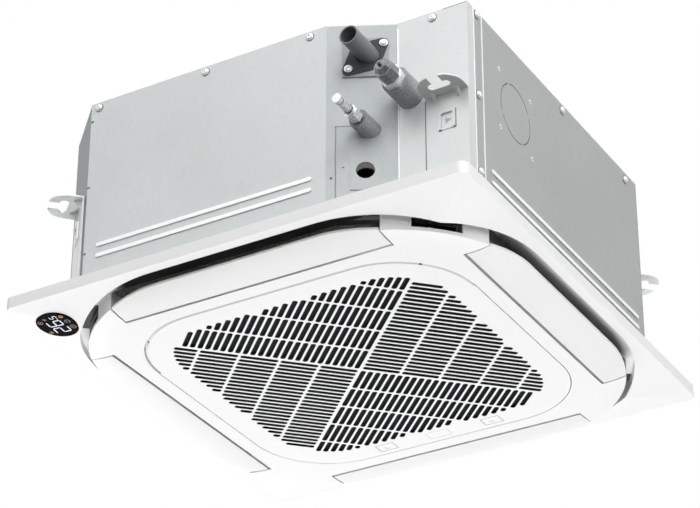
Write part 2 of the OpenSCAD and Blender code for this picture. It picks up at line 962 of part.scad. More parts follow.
pump_r = 24;
pump_h = 96;
pump_y = sump_gap - coil_in;
pump_foot_r = 30;
hose_r = drain_r - drain_wall;
elbow_r = 22;
module drain_pump() {
    z0 = z_trough;
    color("#e2e2dc")
        translate([drain_x, pump_y, 0]) {
            translate([0, 0, z0])
                difference() {
                    cylinder(h = pump_h / 4, r1 = pump_r / 2, r2 = pump_r);
                    translate([0, 0, -over])
                        cylinder(h = pump_h / 8, r = pump_r / 4);
                }
            translate([0, 0, z0 + pump_h / 4])
                cylinder(h = pump_h / 4, r = pump_r);
            translate([0, 0, z0 + pump_h / 2])
                cylinder(h = pump_h / 2, r = pump_r * 3 / 4);
        }
}

// The hose climbs from the pump and turns out to the drain stub
module drain_hose() {
    stub_end = plate_y(drain_x) + pipe_in;
    z_turn = drain_z - elbow_r;
    color("#4c4f52") {
        translate([drain_x, pump_y, z_trough + pump_h])
            cylinder(h = z_turn - z_trough - pump_h, r = hose_r);
        translate([drain_x, pump_y - elbow_r, z_turn])
            rotate([90, 0, 90])
                rotate_extrude(angle = 90)
                    translate([elbow_r, 0])
                        circle(hose_r);
        rod_y(drain_x, drain_z, hose_r, stub_end, pump_y - elbow_r);
    }
}

float_in_x = 58.4;
float_gap = 29;
float_x = drain_x + float_in_x;
float_y = gas_header_y - float_gap;
float_travel = 15;
stem_r = 3;
float_r = 9;
float_h = 14;
module float_stem() {
    z0 = z_trough;
    top = float_h + float_travel + 2 * stem_r;
    color("#dadad4")
        translate([float_x, float_y, z0]) {
            cylinder(h = top, r = stem_r, $fn = 32);
            cylinder(h = stem_r, r = float_r, $fn = 32);
            translate([0, 0, top])
                cylinder(h = 2 * stem_r, r = float_r, $fn = 32);
        }
}

module float_ring() {
    color("#f0f0ea")
        translate([float_x, float_y, z_trough + stem_r + loose])
            difference() {
                cylinder(h = float_h, r = float_r, $fn = 32);
                translate([0, 0, -over])
                    cylinder(h = float_h + 2 * over, r = stem_r + running, $fn = 32);
            }
}

// Heights of the fan and the motor
mount_h = 8;
motor_h = 37;
neck_h = 37;
motor_top = z_top - sheet_t - mount_h;
motor_mid = motor_top - motor_h;
motor_low = motor_mid - neck_h;
motor_neck_r = 36;
foot_t = 3;
foot_w = 28;
foot_out = 22;
foot_r = motor_r + foot_out;
motor_room = 8;
fan_h = 135;
fan_drop = 4;
fan_top = motor_mid - fan_drop;
fan_low = fan_top - fan_h;
flare_h = 50;
flare_z = fan_low + flare_h;
disc_t = 3;
inlet_gap = 6;
inlet_h = 14;
inlet_r = throat_r + inlet_gap;
cup_drop = 9;
cup_z = motor_low - cup_drop;
cup_r = 45;
rim_cup_r = 76;
hub_r = 14;
hub_h = 20;
module fan_motor() {
    color("#9fa4a8")
        difference() {
            union() {
                translate([0, 0, motor_low])
                    cylinder(h = motor_mid - motor_low, r = motor_neck_r);
                translate([0, 0, motor_mid])
                    cylinder(h = motor_top - foot_t - motor_mid, r = motor_r);
                translate([0, 0, motor_top - foot_t])
                    linear_extrude(foot_t) {
                        circle(motor_r - foot_t);
                        for (turn = [0, 120, 240])
                            rotate(turn)
                                translate([0, -foot_w / 2])
                                    square([foot_r, foot_w]);
                    }
            }
            translate([0, 0, motor_low - over])
                cylinder(h = motor_mid - motor_low, r = shaft_r + running, $fn = 48);
        }
}

mount_r = 8;
module motor_mounts() {
    color("#2b2b2b")
        for (turn = [0, 120, 240])
            rotate([0, 0, turn])
                translate([foot_r - mount_r, 0, motor_top])
                    cylinder(h = z_top - sheet_t - motor_top, r = mount_r, $fn = 32);
}

// The turbo fan: a disc with a cup for the motor, backward blades and a flared shroud
shroud_steps = 6;
function flare(i) = [
    inlet_r + (fan_r - inlet_r) * (1 - cos(90 * i / shroud_steps)),
    fan_low + inlet_h + (flare_h - inlet_h) * sin(90 * i / shroud_steps)
];
module turbo_fan() {
    color("#d6d8d8") {
        rotate_extrude()
            polygon(concat(
                [[inlet_r, fan_low]],
                [for (i = [0 : shroud_steps]) flare(i)],
                [flare(shroud_steps) - [0, disc_t]],
                [for (i = [shroud_steps - 1 : -1 : 0]) flare(i) + [disc_t, -disc_t / 2]],
                [[inlet_r + disc_t, fan_low]]
            ));
        rotate_extrude()
            polygon([
                [shaft_r + fit, cup_z - hub_h / 2],
                [hub_r, cup_z - hub_h / 2],
                [hub_r, cup_z - disc_t],
                [cup_r, cup_z - disc_t],
                [rim_cup_r + disc_t, fan_top - disc_t],
                [fan_r, fan_top - disc_t],
                [fan_r, fan_top],
                [rim_cup_r, fan_top],
                [cup_r - disc_t, cup_z],
                [shaft_r + fit, cup_z]
            ]);
        intersection() {
            translate([0, 0, fan_low])
                linear_extrude(fan_top - disc_t - fan_low)
                    for (i = [0 : blades - 1])
                        rotate(i * 360 / blades)
                            blade();
            rotate_extrude()
                polygon(concat(
                    [for (i = [0 : shroud_steps]) flare(i)],
                    [[fan_r, fan_top - disc_t], [rim_cup_r + disc_t, fan_top - disc_t],
                        [rim_cup_r + disc_t, flare(0).y]]
                ));
        }
    }
}

// One blade's plan: a backward arc from near the cup to the fan's rim
blade_in_r = 98;
blade_sweep = 38;
blade_steps = 6;
function blade_point(i, push) = let (
        share = i / blade_steps,
        r = blade_in_r + (fan_r - blade_in_r) * share,
        turn = -blade_sweep * share + push / r * 180 / PI
    )
    [r * cos(turn), r * sin(turn)];
module blade() {
    polygon(concat(
        [for (i = [0 : blade_steps]) blade_point(i, -blade_t / 2)],
        [for (i = [blade_steps : -1 : 0]) blade_point(i, blade_t / 2)]
    ));
}

shaft_low = cup_z - hub_h;
module fan_shaft() {
    color("#c0c4c8")
        translate([0, 0, shaft_low])
            cylinder(h = motor_mid - shaft_low - 2 * over, r = shaft_r, $fn = 48);
}

module fan_nut() {
    color("#8d9092")
        translate([0, 0, cup_z - hub_h / 2 - 2 * shaft_r])
            difference() {
                cylinder(h = 2 * shaft_r, r = 2 * shaft_r, $fn = 6);
                translate([0, 0, -over])
                    cylinder(h = 2 * shaft_r + 2 * over, r = shaft_r + fit, $fn = 48);
            }
}

// The bell mouth's inlet is a quarter ellipse that ends in a straight throat
bell_t = 2.5;
bell_steps = 8;
bell_rise = 44;
bell_lap = 10;
bell_top = fan_low + bell_lap;
function bell(i, out) = [
    throat_r + out + (pan_hole_r - bell_t - fit - throat_r) * (1 - sin(90 * i / bell_steps)),
    z_bot + bell_rise * (1 - cos(90 * i / bell_steps)) - bell_t
];
module bell_mouth() {
    color("#f4f4f2")
        rotate_extrude()
            polygon(concat(
                [for (i = [0 : bell_steps]) bell(i, 0)],
                [[throat_r, bell_top], [throat_r + bell_t, bell_top]],
                [for (i = [bell_steps : -1 : 1]) bell(i, bell_t)],
                [[pan_hole_r - fit, z_bot], [bell_flange_r, z_bot], [bell_flange_r, z_bot - bell_t]]
            ));
}

// The control box sits up in the drain pan beside the bell mouth and opens downwards
box_t = 1.2;
module control_box() {
    color("#c9cccd")
        difference() {
            box(box_x0, box_x1, -box_half, box_half, z_box + box_t, z_box + box_h);
            box(box_x0 + box_t, box_x1 - box_t, -box_half + box_t, box_half - box_t,
                z_box - over, z_box + box_h - box_t);
        }
}

module control_cover() {
    color("#b9bcbd")
        box(box_x0, box_x1, -box_half, box_half, z_box, z_box + box_t);
}

board_w = 40;
board_l = 190;
board_t = 1.6;
post_h = 6;
relay = 14;
part_gap = 2;
module control_board() {
    mid = (box_x0 + box_x1) / 2;
    z1 = z_box + box_h - box_t;
    low = z1 - post_h - board_t;
    y0 = box_half - box_t - part_gap / 2 - board_l;
    color("#2f6b45") {
        box(mid - board_w / 2, mid + board_w / 2, y0, y0 + board_l, low, low + board_t);
        for (sx = [-1, 1], y = [y0 + post_h, y0 + board_l - post_h])
            translate([mid + sx * (board_w / 2 - post_h), y, low])
                cylinder(h = z1 - low, r = post_h / 2, $fn = 24);
        for (i = [0 : 3])
            box(mid - board_w / 2 + part_gap, mid - board_w / 2 + part_gap + relay,
                y0 + (2 * i + 1) * relay, y0 + (2 * i + 2) * relay, low - relay, low);
        translate([mid + relay / 2, y0 + 2 * relay, low - 2 * relay + part_gap])
            cylinder(h = 2 * relay - part_gap, r = relay / 2, $fn = 32);
        box(mid, mid + relay, y0 + 4 * relay, y0 + 7 * relay, low - relay, low);
    }
}

block_l = 24;
block_h = 12;
module terminal_block() {
    z1 = z_box + box_h - box_t;
    x0 = box_x0 + box_t + part_gap;
    y0 = -box_half + box_t + part_gap / 2;
    color("#efeee8")
        difference() {
            box(x0, box_x1 - box_t - part_gap, y0, y0 + block_l, z1 - block_h, z1);
            for (i = [0 : 3])
                box(x0 + (i + 1 / 4) * block_h - over, x0 + (i + 3 / 4) * block_h,
                    y0 - over, y0 + block_l + over, z1 - block_h - over, z1 - block_h * 2 / 3);
        }
}

// Foam seal between the casing's foot and the panel
module panel_seal() {
    color("#3a3c3e")
        translate([0, 0, z_plate])
            linear_extrude(seal_t)
                difference() {
                    intersection() {
                        polygon(inset(case_plan, 3 * sheet_t));
                        rounded_square(frame_half - 2 * loose, frame_r);
                    }
                    intersection() {
                        polygon(cut_plan);
                        rounded_square(frame_half - 2 * loose - outer_wall, frame_r - outer_wall);
                    }
                }
}

// Height of the frame's face at a distance in from the rim
face_span = 67;
face_power = 1.3;
face_steps = 8;
function face(d) = z_rim - frame_drop * pow(d / face_span, face_power);

// Everything above the frame's face, raised by lift, inside walls that are set in by edge
module above_face(lift, edge, top) {
    half = panel_half - edge;
    points = concat(
        [for (i = [0 : face_steps]) let (d = face_span * i / face_steps) [-half + d, face(d) + lift]],
        [for (i = [face_steps : -1 : 0]) let (d = face_span * i / face_steps) [half - d, face(d) + lift]],
        [[half, top], [-half, top]]
    );
    intersection() {
        rotate([90, 0, 0])
            linear_extrude(2 * half, center = true)
                polygon(points);
        rotate([90, 0, 90])
            linear_extrude(2 * half, center = true)
                polygon(points);
    }
}

// The display sits at the left front corner, square to the sloping face
display_in_x = 41;
display_in_y = 53;
display_sink = 5;
display_x = display_in_x - panel_half;
display_y = display_in_y - panel_half;
display_z = z_rim - display_sink;
display_tilt = 6.5;
display_t = 3;
boss_w = 4;
lip_drop = 3;
module at_display() {
    translate([display_x, display_y, display_z])
        rotate([0, 0, 45])
            rotate([0, display_tilt, 0])
                children();
}

module panel_frame() {
    lip_top = z_ceiling - lip_drop;
    color("#f1f1f0")
        difference() {
            union() {
                difference() {
                    intersection() {
                        rounded_plate(panel_half, panel_r, z_centre, z_ceiling);
                        above_face(0, 0, z_ceiling);
                    }
                    intersection() {
                        rounded_plate(panel_half - panel_t, panel_r - panel_t, z_centre, z_ceiling + over);
                        above_face(panel_t, 0, z_ceiling + over);
                    }
                }
                intersection() {
                    rounded_plate(frame_half + panel_t, frame_r + panel_t, z_centre, lip_top);
                    above_face(0, 0, z_ceiling);
                }
                intersection() {
                    at_display()
                        translate([0, 0, -display_t])
                            cylinder(h = 3 * display_t, r = display_r + boss_w);
                    above_face(0, 0, z_ceiling);
                }
            }
            rounded_plate(frame_half, frame_r, z_centre - over, z_ceiling + over);
            at_display()
                cylinder(h = 6 * display_t, r = display_r + loose, center = true);
        }
}

// The window's flange and its board are cut off along the frame's inner wall
module clear_of_frame() {
    wall = panel_t + fit;
    difference() {
        children();
        rounded_plate(frame_half + wall, frame_r + wall, z_centre, z_ceiling);
    }
}

module display_lens() {
    color("#0c0c0e") {
        at_display()
            translate([0, 0, -display_t / 2])
                cylinder(h = 3.5 * display_t, r = display_r);
        clear_of_frame()
            at_display()
                translate([0, 0, 2 * display_t])
                    cylinder(h = display_t, r = display_r + boss_w / 2);
    }
}

module display_board() {
    color("#2f6b45")
        clear_of_frame()
            at_display()
                translate([0, 0, 3 * display_t])
                    cylinder(h = board_t, r = display_r - boss_w);
}

// The lowered centre: its face, collar, outlet walls and the plate that ties it to the frame
centre_t = 2.2;
// A pivot keeps its motor clear of the collar's round corner
stepper_r = 10;
stepper_l = 14;
stepper_in = 6.2;
stepper_up = 2.8;
stepper_gap = 0.714;
collar_mid = centre_half - centre_r;
function collar_y(x) = collar_mid + sqrt(pow(centre_r - panel_t, 2) - pow(x - collar_mid, 2));
stepper_y = collar_y(outlet_half + panel_t + stepper_l) - stepper_r - stepper_gap;
pivot_y = stepper_y + stepper_in;
pivot_up = 9.5;
z_pivot = z_centre + pivot_up;
window_up = 7;
window_h = 12;
hinge_in = 4;
hinge_y = hinge_in - grille_half;
hinge_up = 2.6;
bevel = 2.8;
z_hinge = z_centre + hinge_up;
module panel_centre() {
    z_tie = z_plate - panel_t;
    color("#fafafa")
        difference() {
            union() {
                rounded_plate(centre_half, centre_r, z_centre, z_centre + centre_t);
                rounded_ring(centre_half, centre_r, 2 * panel_t, z_centre, z_centre + 2 * centre_t);
                rounded_ring(centre_half, centre_r, panel_t, z_centre, z_tie);
                rounded_plate(frame_half - loose, frame_r - loose, z_tie, z_plate);
                rounded_plate(mouth_half + panel_t, mouth_r + panel_t, z_centre, z_tie);
                four_sides()
                    outlet_walls(z_tie);
            }
            rounded_plate(mouth_half, mouth_r, z_centre - over, z_plate + over);
            four_sides()
                outlet_cuts(z_tie);
            corner_crowns();
            for (sx = [-1, 1], sy = [-1, 1])
                translate([sx * bolt_at, sy * bolt_at, z_tie - over])
                    cylinder(h = panel_t + 2 * over, r = bolt_r + fit, $fn = 24);
        }
    color("#fafafa")
        hinge_arms();
}

module outlet_walls(z_tie) {
    box(-outlet_half - panel_t, outlet_half + panel_t, outlet_in - panel_t, outlet_in, z_centre, z_tie);
    for (sx = [-1, 1])
        translate([0, 0, z_centre])
            linear_extrude(z_tie - z_centre)
                intersection() {
                    translate([sx > 0 ? outlet_half : -outlet_half - panel_t, outlet_in - panel_t])
                        square([panel_t, centre_half]);
                    rounded_square(centre_half, centre_r);
                }
}

// The flap's opening and bearings, and one short outlet at a corner
module outlet_cuts(z_tie) {
    box(-outlet_half, outlet_half, outlet_in, frame_half - loose, z_centre - over, z_tie);
    box(-outlet_half, outlet_half, outlet_in, outlet_out, z_centre - over, z_plate + over);
    rod_x(pivot_y, z_pivot, flap_pin_r + running, -outlet_half - 2 * panel_t,
        outlet_half + 2 * panel_t);
    rotate([0, 0, 45]) {
        box(centre_half, case_w, -corner_outlet / 2, corner_outlet / 2,
            z_centre + window_up, z_centre + window_up + window_h);
        box(corner_slot_in, corner_slot_in + corner_slot_w, -corner_outlet / 2, corner_outlet / 2,
            z_tie - over, z_plate + over);
    }
}

// The centre's face turns up a little towards each round corner
crown_span = 26;
crown_steps = 5;
module corner_crowns() {
    reach = centre_half - centre_r;
    for (turn = [0, 90, 180, 270])
        rotate([0, 0, turn])
            translate([reach, reach, z_centre])
                rotate_extrude(angle = 90)
                    polygon(concat(
                        [for (i = [0 : crown_steps])
                            [centre_r - crown_span * (1 - i / crown_steps),
                                corner_rise * pow(i / crown_steps, 2)]],
                        [[centre_r + over, corner_rise], [centre_r + over, -over],
                            [centre_r - crown_span, -over]]
                    ));
}

// Two arms on each side of a grille lug come down from the collar to the hinge line
arm_t = 3;
arm_r = 2;
lug_w = 6;
lug_x = 104;
hinge_pin_r = 1.2;
module hinge_arms() {
    for (sx = [-1, 1], side_sign = [-1, 1]) {
        x0 = sx * lug_x + side_sign * (lug_w / 2 + loose + arm_t / 2) - arm_t / 2;
        difference() {
            union() {
                rod_x(hinge_y, z_hinge, arm_r, x0, x0 + arm_t, 32);
                box(x0, x0 + arm_t, hinge_y - loose, hinge_y + arm_r, z_hinge, z_hinge + 4 * arm_r);
                box(x0, x0 + arm_t, -mouth_half - panel_t / 2, hinge_y + arm_r,
                    z_hinge + 3 * arm_r, z_hinge + 4 * arm_r);
            }
            rod_x(hinge_y, z_hinge, hinge_pin_r + running, x0 - over, x0 + arm_t + over, 32);
        }
    }
}

module panel_bolts() {
    z_tie = z_plate - panel_t;
    color("#8d9092")
        for (sx = [-1, 1], sy = [-1, 1])
            translate([sx * bolt_at, sy * bolt_at, 0]) {
                translate([0, 0, z_tie])
                    cylinder(h = z_pan - z_tie, r = bolt_r, $fn = 24);
                translate([0, 0, z_tie - 2 * bolt_r])
                    cylinder(h = 2 * bolt_r, r = 2 * bolt_r, $fn = 6);
            }
}

// A flap along X at the back side, with an upward crown, end ears and pivot pins
ear_r = 5;
ear_t = 3;
pin_out = 1;
socket_l = 2;
flap_steps = 6;
flap_out = centre_half - loose;
function crown(share) = crown_rise * share * share;
module flap() {
    lower = [for (i = [0 : flap_steps])
        [flap_in + (flap_out - flap_in) * i / flap_steps, z_centre + crown(i / flap_steps)]];
    upper = [for (i = [flap_steps : -1 : 0])
        [flap_in + (flap_out - flap_in) * i / flap_steps, z_centre + crown(i / flap_steps) + flap_t]];
    pin_end = outlet_half + panel_t + pin_out;
    color("#f2f2f2") {
        intersection() {
            rotate([90, 0, 90])
                linear_extrude(flap_l, center = true)
                    polygon(concat(lower, upper));
            rounded_plate(centre_half - loose, centre_r - loose, z_centre - over, z_rim);
        }
        for (sx = [-1, 1]) {
            x0 = sx > 0 ? flap_l / 2 - ear_t : -flap_l / 2;
            rod_x(pivot_y, z_pivot, ear_r, x0, x0 + ear_t, 32);
            box(x0, x0 + ear_t, pivot_y - ear_r, pivot_y + ear_r, z_centre + flap_t / 2, z_pivot);
            rod_x(pivot_y, z_pivot, flap_pin_r, sx > 0 ? x0 : -pin_end,
                sx > 0 ? pin_end : -flap_l / 2, 32);
        }
    }
}

module flap_back() {
    flap();
}
module flap_left() {
    rotate([0, 0, 90])
        flap();
}
module flap_front() {
    rotate([0, 0, 180])
        flap();
}
module flap_right() {
    rotate([0, 0, 270])
        flap();
}

// A flap's stepper motor, beside its right-hand pin; the pin turns in the motor's socket
module flap_motor() {
    x0 = outlet_half + panel_t;
    color("#b9bcbd")
        difference() {
            rod_x(stepper_y, z_pivot + stepper_up, stepper_r, x0, x0 + stepper_l);
            rod_x(pivot_y, z_pivot, flap_pin_r + running, x0 - over, x0 + socket_l, 32);
        }
}

module flap_motor_back() {
    flap_motor();
}
module flap_motor_left() {
    rotate([0, 0, 90])
        flap_motor();
}
module flap_motor_front() {
    rotate([0, 0, 180])
        flap_motor();
}
module flap_motor_right() {
    rotate([0, 0, 270])
        flap_motor();
}

// The slotted field is divided by both diagonals. A slot's place is its distance from one
// diagonal, and its length runs along the other until the field's rounded edge.
diag = field_w / 2 * sqrt(2);
arc_mid = (field_w / 2 - field_r) * sqrt(2);
arc_end = field_r / sqrt(2);
function slot_end(u) =
    u < arc_end ? arc_mid + sqrt(field_r * field_r - u * u)
    : u < diag - arc_end ? diag - u
    : sqrt(max(0, field_r * field_r - pow(u - arc_mid, 2)));
slot_count = floor((arc_mid + field_r - cross_w / 2) / slot_pitch);
band_count = ceil((arc_mid + field_r) / band_pitch);

// A slot's outline has its four corners cut
slot_corner = 1.8;
module air_slot(u, v0, v1) {
    r = air_slot_w / 2;
    c = r - slot_corner;
    polygon([
        [u - c, v0], [u + c, v0], [u + r, v0 + slot_corner], [u + r, v1 - slot_corner],
        [u + c, v1], [u - c, v1], [u - r, v1 - slot_corner], [u - r, v0 + slot_corner]
    ]);
}

module slot_quarter() {
    for (i = [0 : slot_count - 1], j = [0 : band_count - 1]) {
        u = (cross_w + air_slot_w) / 2 + i * slot_pitch;
        v0 = j > 0 ? j * band_pitch + rib_w / 2 : cross_w / 2;
        v1 = min((j + 1) * band_pitch - rib_w / 2, slot_end(u));
        if (v1 - v0 > air_slot_w)
            air_slot(u, v0, v1);
    }
}

module slot_field() {
    four_sides()
        rotate(45)
            slot_quarter();
}

latch_x = 76;
latch_y = 201;
grille_wall = 2;
grille_h = 11;
module intake_grille() {
    color("#fafafa")
        difference() {
            union() {
                translate([0, 0, z_centre])
                    linear_extrude(grille_t)
                        difference() {
                            rounded_square(grille_half, grille_r);
                            slot_field();
                            for (x = [-latch_x, latch_x])
                                translate([x, latch_y])
                                    square([latch_l + 2 * fit, latch_w + 2 * fit], center = true);
                        }
                rounded_ring(grille_half, grille_r, grille_wall, z_centre + grille_t,
                    z_centre + grille_h);
            }
            for (sx = [-1, 1]) {
                box(sx * lug_x - 2 * lug_w, sx * lug_x + 2 * lug_w, -grille_half - over,
                    -grille_half + grille_wall + over, z_centre + grille_t, z_centre + grille_h + over);
                for (side_sign = [-1, 1])
                    arm_relief(sx * lug_x + side_sign * (lug_w / 2 + loose + arm_t / 2));
            }
            hinge_bevel();
            name_plate_pocket();
            field_pocket();
        }
    color("#fafafa")
        for (sx = [-1, 1]) {
            box(sx * lug_x - lug_w / 2, sx * lug_x + lug_w / 2, hinge_y - arm_r / 2,
                hinge_y + arm_r, z_centre + grille_t / 2, z_hinge + arm_r);
            rod_x(hinge_y, z_hinge, hinge_pin_r, sx * lug_x - lug_w / 2 - arm_t,
                sx * lug_x + lug_w / 2 + arm_t, 32);
        }
}

// The face is thin behind the slots, but for a stiffener along each diagonal
pocket_over = 4;
module field_pocket() {
    translate([0, 0, z_centre + slot_t])
        linear_extrude(grille_t)
            difference() {
                rounded_square(field_w / 2 + pocket_over, field_r + pocket_over);
                for (turn = [45, 135])
                    rotate(turn)
                        square([2 * field_w, cross_w / 3], center = true);
            }
}

// Room for an arm's eye in the grille's face
module arm_relief(x) {
    rod_x(hinge_y, z_hinge, arm_r + loose, x - arm_t / 2 - loose, x + arm_t / 2 + loose, 32);
}

// Bevel under the hinged edge and its two round corners, so that they turn clear of the panel
module hinge_bevel() {
    reach = grille_half - grille_r;
    cutter = [[over, -over], [over, bevel + over], [0, bevel], [-bevel, 0], [-bevel, -over]];
    translate([0, -grille_half, z_centre])
        rotate([90, 0, -90])
            linear_extrude(2 * reach, center = true)
                polygon(cutter);
    for (sx = [-1, 1])
        translate([sx * reach, -reach, z_centre])
            rotate([0, 0, sx > 0 ? -90 : 180])
                rotate_extrude(angle = 90)
                    translate([grille_r, 0])
                        polygon(cutter);
}

plate_w = 30;
plate_d = 16;
name_t = 0.8;
module name_plate_pocket() {
    box(-plate_w / 2 - fit, plate_w / 2 + fit, latch_y - plate_d / 2 - fit, latch_y + plate_d / 2 + fit,
        z_centre - over, z_centre + name_t);
}

module name_plate() {
    color("#f4f4f4")
        box(-plate_w / 2, plate_w / 2, latch_y - plate_d / 2, latch_y + plate_d / 2,
            z_centre, z_centre + name_t);
}

// A push button that stands flush in the grille and is kept by a wider flange above it
latch_h = 9;
latch_flange = 2;
module latch(x) {
    color("#f0f0f0")
        difference() {
            translate([x, latch_y, 0]) {
                box(-latch_l / 2, latch_l / 2, -latch_w / 2, latch_w / 2, z_centre,
                    z_centre + grille_t + loose);
                box(-latch_l / 2 - latch_flange, latch_l / 2 + latch_flange, -latch_w / 2, latch_w / 2,
                    z_centre + grille_t + loose, z_centre + latch_h);
            }
            translate([x, latch_y, z_centre - over])
                cylinder(h = over + name_t, r = latch_w / 4, $fn = 32);
        }
}

module latch_left() {
    latch(-latch_x);
}
module latch_right() {
    latch(latch_x);
}

// The filter lies on the back of the grille: a rim, cross bars and a thin mesh
filter_over = 6;
filter_half = field_w / 2 + filter_over;
filter_r = field_r + filter_over;
filter_h = 4;
filter_rim = 6;
filter_bar = 3;
mesh_t = 0.6;
module air_filter() {
    z0 = z_centre + grille_t + loose;
    color("#222426") {
        rounded_ring(filter_half, filter_r, filter_rim, z0, z0 + filter_h);
        rounded_plate(filter_half - filter_rim / 2, filter_r - filter_rim / 2, z0, z0 + mesh_t);
        intersection() {
            rounded_plate(filter_half - filter_rim / 2, filter_r - filter_rim / 2, z0, z0 + filter_h);
            union() {
                for (i = [-2 : 2]) {
                    x = i * filter_half / 3;
                    box(x - filter_bar / 2, x + filter_bar / 2, -filter_half, filter_half, z0, z0 + filter_h);
                    box(-filter_half, filter_half, x - filter_bar / 2, x + filter_bar / 2, z0, z0 + filter_h);
                }
            }
        }
    }
}

top_plate();
front_wall();
pipe_plate();
corner_sheet();
right_wall();
back_wall();
left_wall();
pipe_cover();
drain_flange();
drain_gasket();
drain_stub();
gas_pipe();
gas_nut();
gas_sleeve();
liquid_pipe();
liquid_nut();
liquid_sleeve();
hanger_near();
hanger_left();
hanger_right();
hanger_back();
foam_liner();
coil_fins();
coil_bends();
coil_end_front();
coil_end_right();
drain_pan();
drain_pump();
drain_hose();
float_stem();
float_ring();
fan_motor();
motor_mounts();
turbo_fan();
fan_shaft();
fan_nut();
bell_mouth();
control_box();
control_cover();
control_board();
terminal_block();
panel_seal();
panel_frame();
panel_centre();
panel_bolts();
display_lens();
display_board();
flap_front();
flap_right();
flap_back();
flap_left();
flap_motor_front();
flap_motor_right();
flap_motor_back();
flap_motor_left();
intake_grille();
air_filter();
latch_left();
latch_right();
name_plate();
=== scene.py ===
"""Ceiling cassette air conditioner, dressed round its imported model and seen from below.

Places and sizes are in millimetres unless a line says metres, and MM turns them to Blender's metres.
"""
import json
import math

import bmesh
import bpy
from mathutils import Matrix, Vector


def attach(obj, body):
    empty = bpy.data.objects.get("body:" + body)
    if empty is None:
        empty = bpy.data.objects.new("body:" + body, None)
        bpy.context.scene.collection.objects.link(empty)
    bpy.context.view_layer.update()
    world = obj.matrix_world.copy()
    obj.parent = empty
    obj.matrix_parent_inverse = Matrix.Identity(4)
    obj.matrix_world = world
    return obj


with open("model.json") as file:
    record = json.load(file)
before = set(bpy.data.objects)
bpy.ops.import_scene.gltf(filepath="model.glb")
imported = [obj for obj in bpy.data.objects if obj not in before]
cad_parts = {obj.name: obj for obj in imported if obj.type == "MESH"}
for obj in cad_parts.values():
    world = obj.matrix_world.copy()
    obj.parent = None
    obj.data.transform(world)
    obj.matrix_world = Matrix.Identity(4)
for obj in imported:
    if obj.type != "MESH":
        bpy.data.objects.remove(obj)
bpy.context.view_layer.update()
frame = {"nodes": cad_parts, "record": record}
MM = 0.001
CASE = 285.0  # from the middle to the outside of a casing wall
BEVEL_SUM = 499.6  # |x| + |y| just inside the sheet that bevels a corner
UNDERSIDE = -173.5  # the grille's lower face
HALF = math.sqrt(0.5)


# Materials

def linear(hex_colour):
    """An sRGB hex colour as linear RGBA."""
    parts = [int(hex_colour[i:i + 2], 16) / 255 for i in (1, 3, 5)]
    return [p / 12.92 if p <= 0.04045 else ((p + 0.055) / 1.055) ** 2.4 for p in parts] + [1.0]


def fill(tree, node, **inputs):
    """Fills a node's inputs with values or with other nodes' outputs. i7 is input number 7, else _ is a space."""
    for key, value in inputs.items():
        socket = node.inputs[int(key[1:])] if key[1:].isdigit() else node.inputs[key.replace("_", " ")]
        if isinstance(value, bpy.types.NodeSocket):
            tree.links.new(value, socket)
        else:
            socket.default_value = value


def add(tree, kind, settings=None, **inputs):
    """Adds a node with its settings and inputs."""
    node = tree.nodes.new(kind)
    for key, value in (settings or {}).items():
        setattr(node, key, value)
    fill(tree, node, **inputs)
    return node


def begin(name, **surface):
    """A new material, its tree, its shader with what is the same all over, and the object coordinates."""
    material = bpy.data.materials.new(name)
    material.use_nodes = True
    tree = material.node_tree
    shader = tree.nodes["Principled BSDF"]
    fill(tree, shader, **surface)
    return material, tree, shader, add(tree, "ShaderNodeTexCoord").outputs["Object"]


# The beads' painted highlight and the bevels' painted shade, and where each starts
BEAD_HIGHLIGHT = "#fcfdfd"
BEVEL_SHADE_ZINC = "#6d7173"
BEAD_RISE = (0.1, 0.6)  # how far out of a wall a bead turns bright
BEVEL_START = (0.6, 1.6)  # how far inside the walls' planes the bevels turn dull


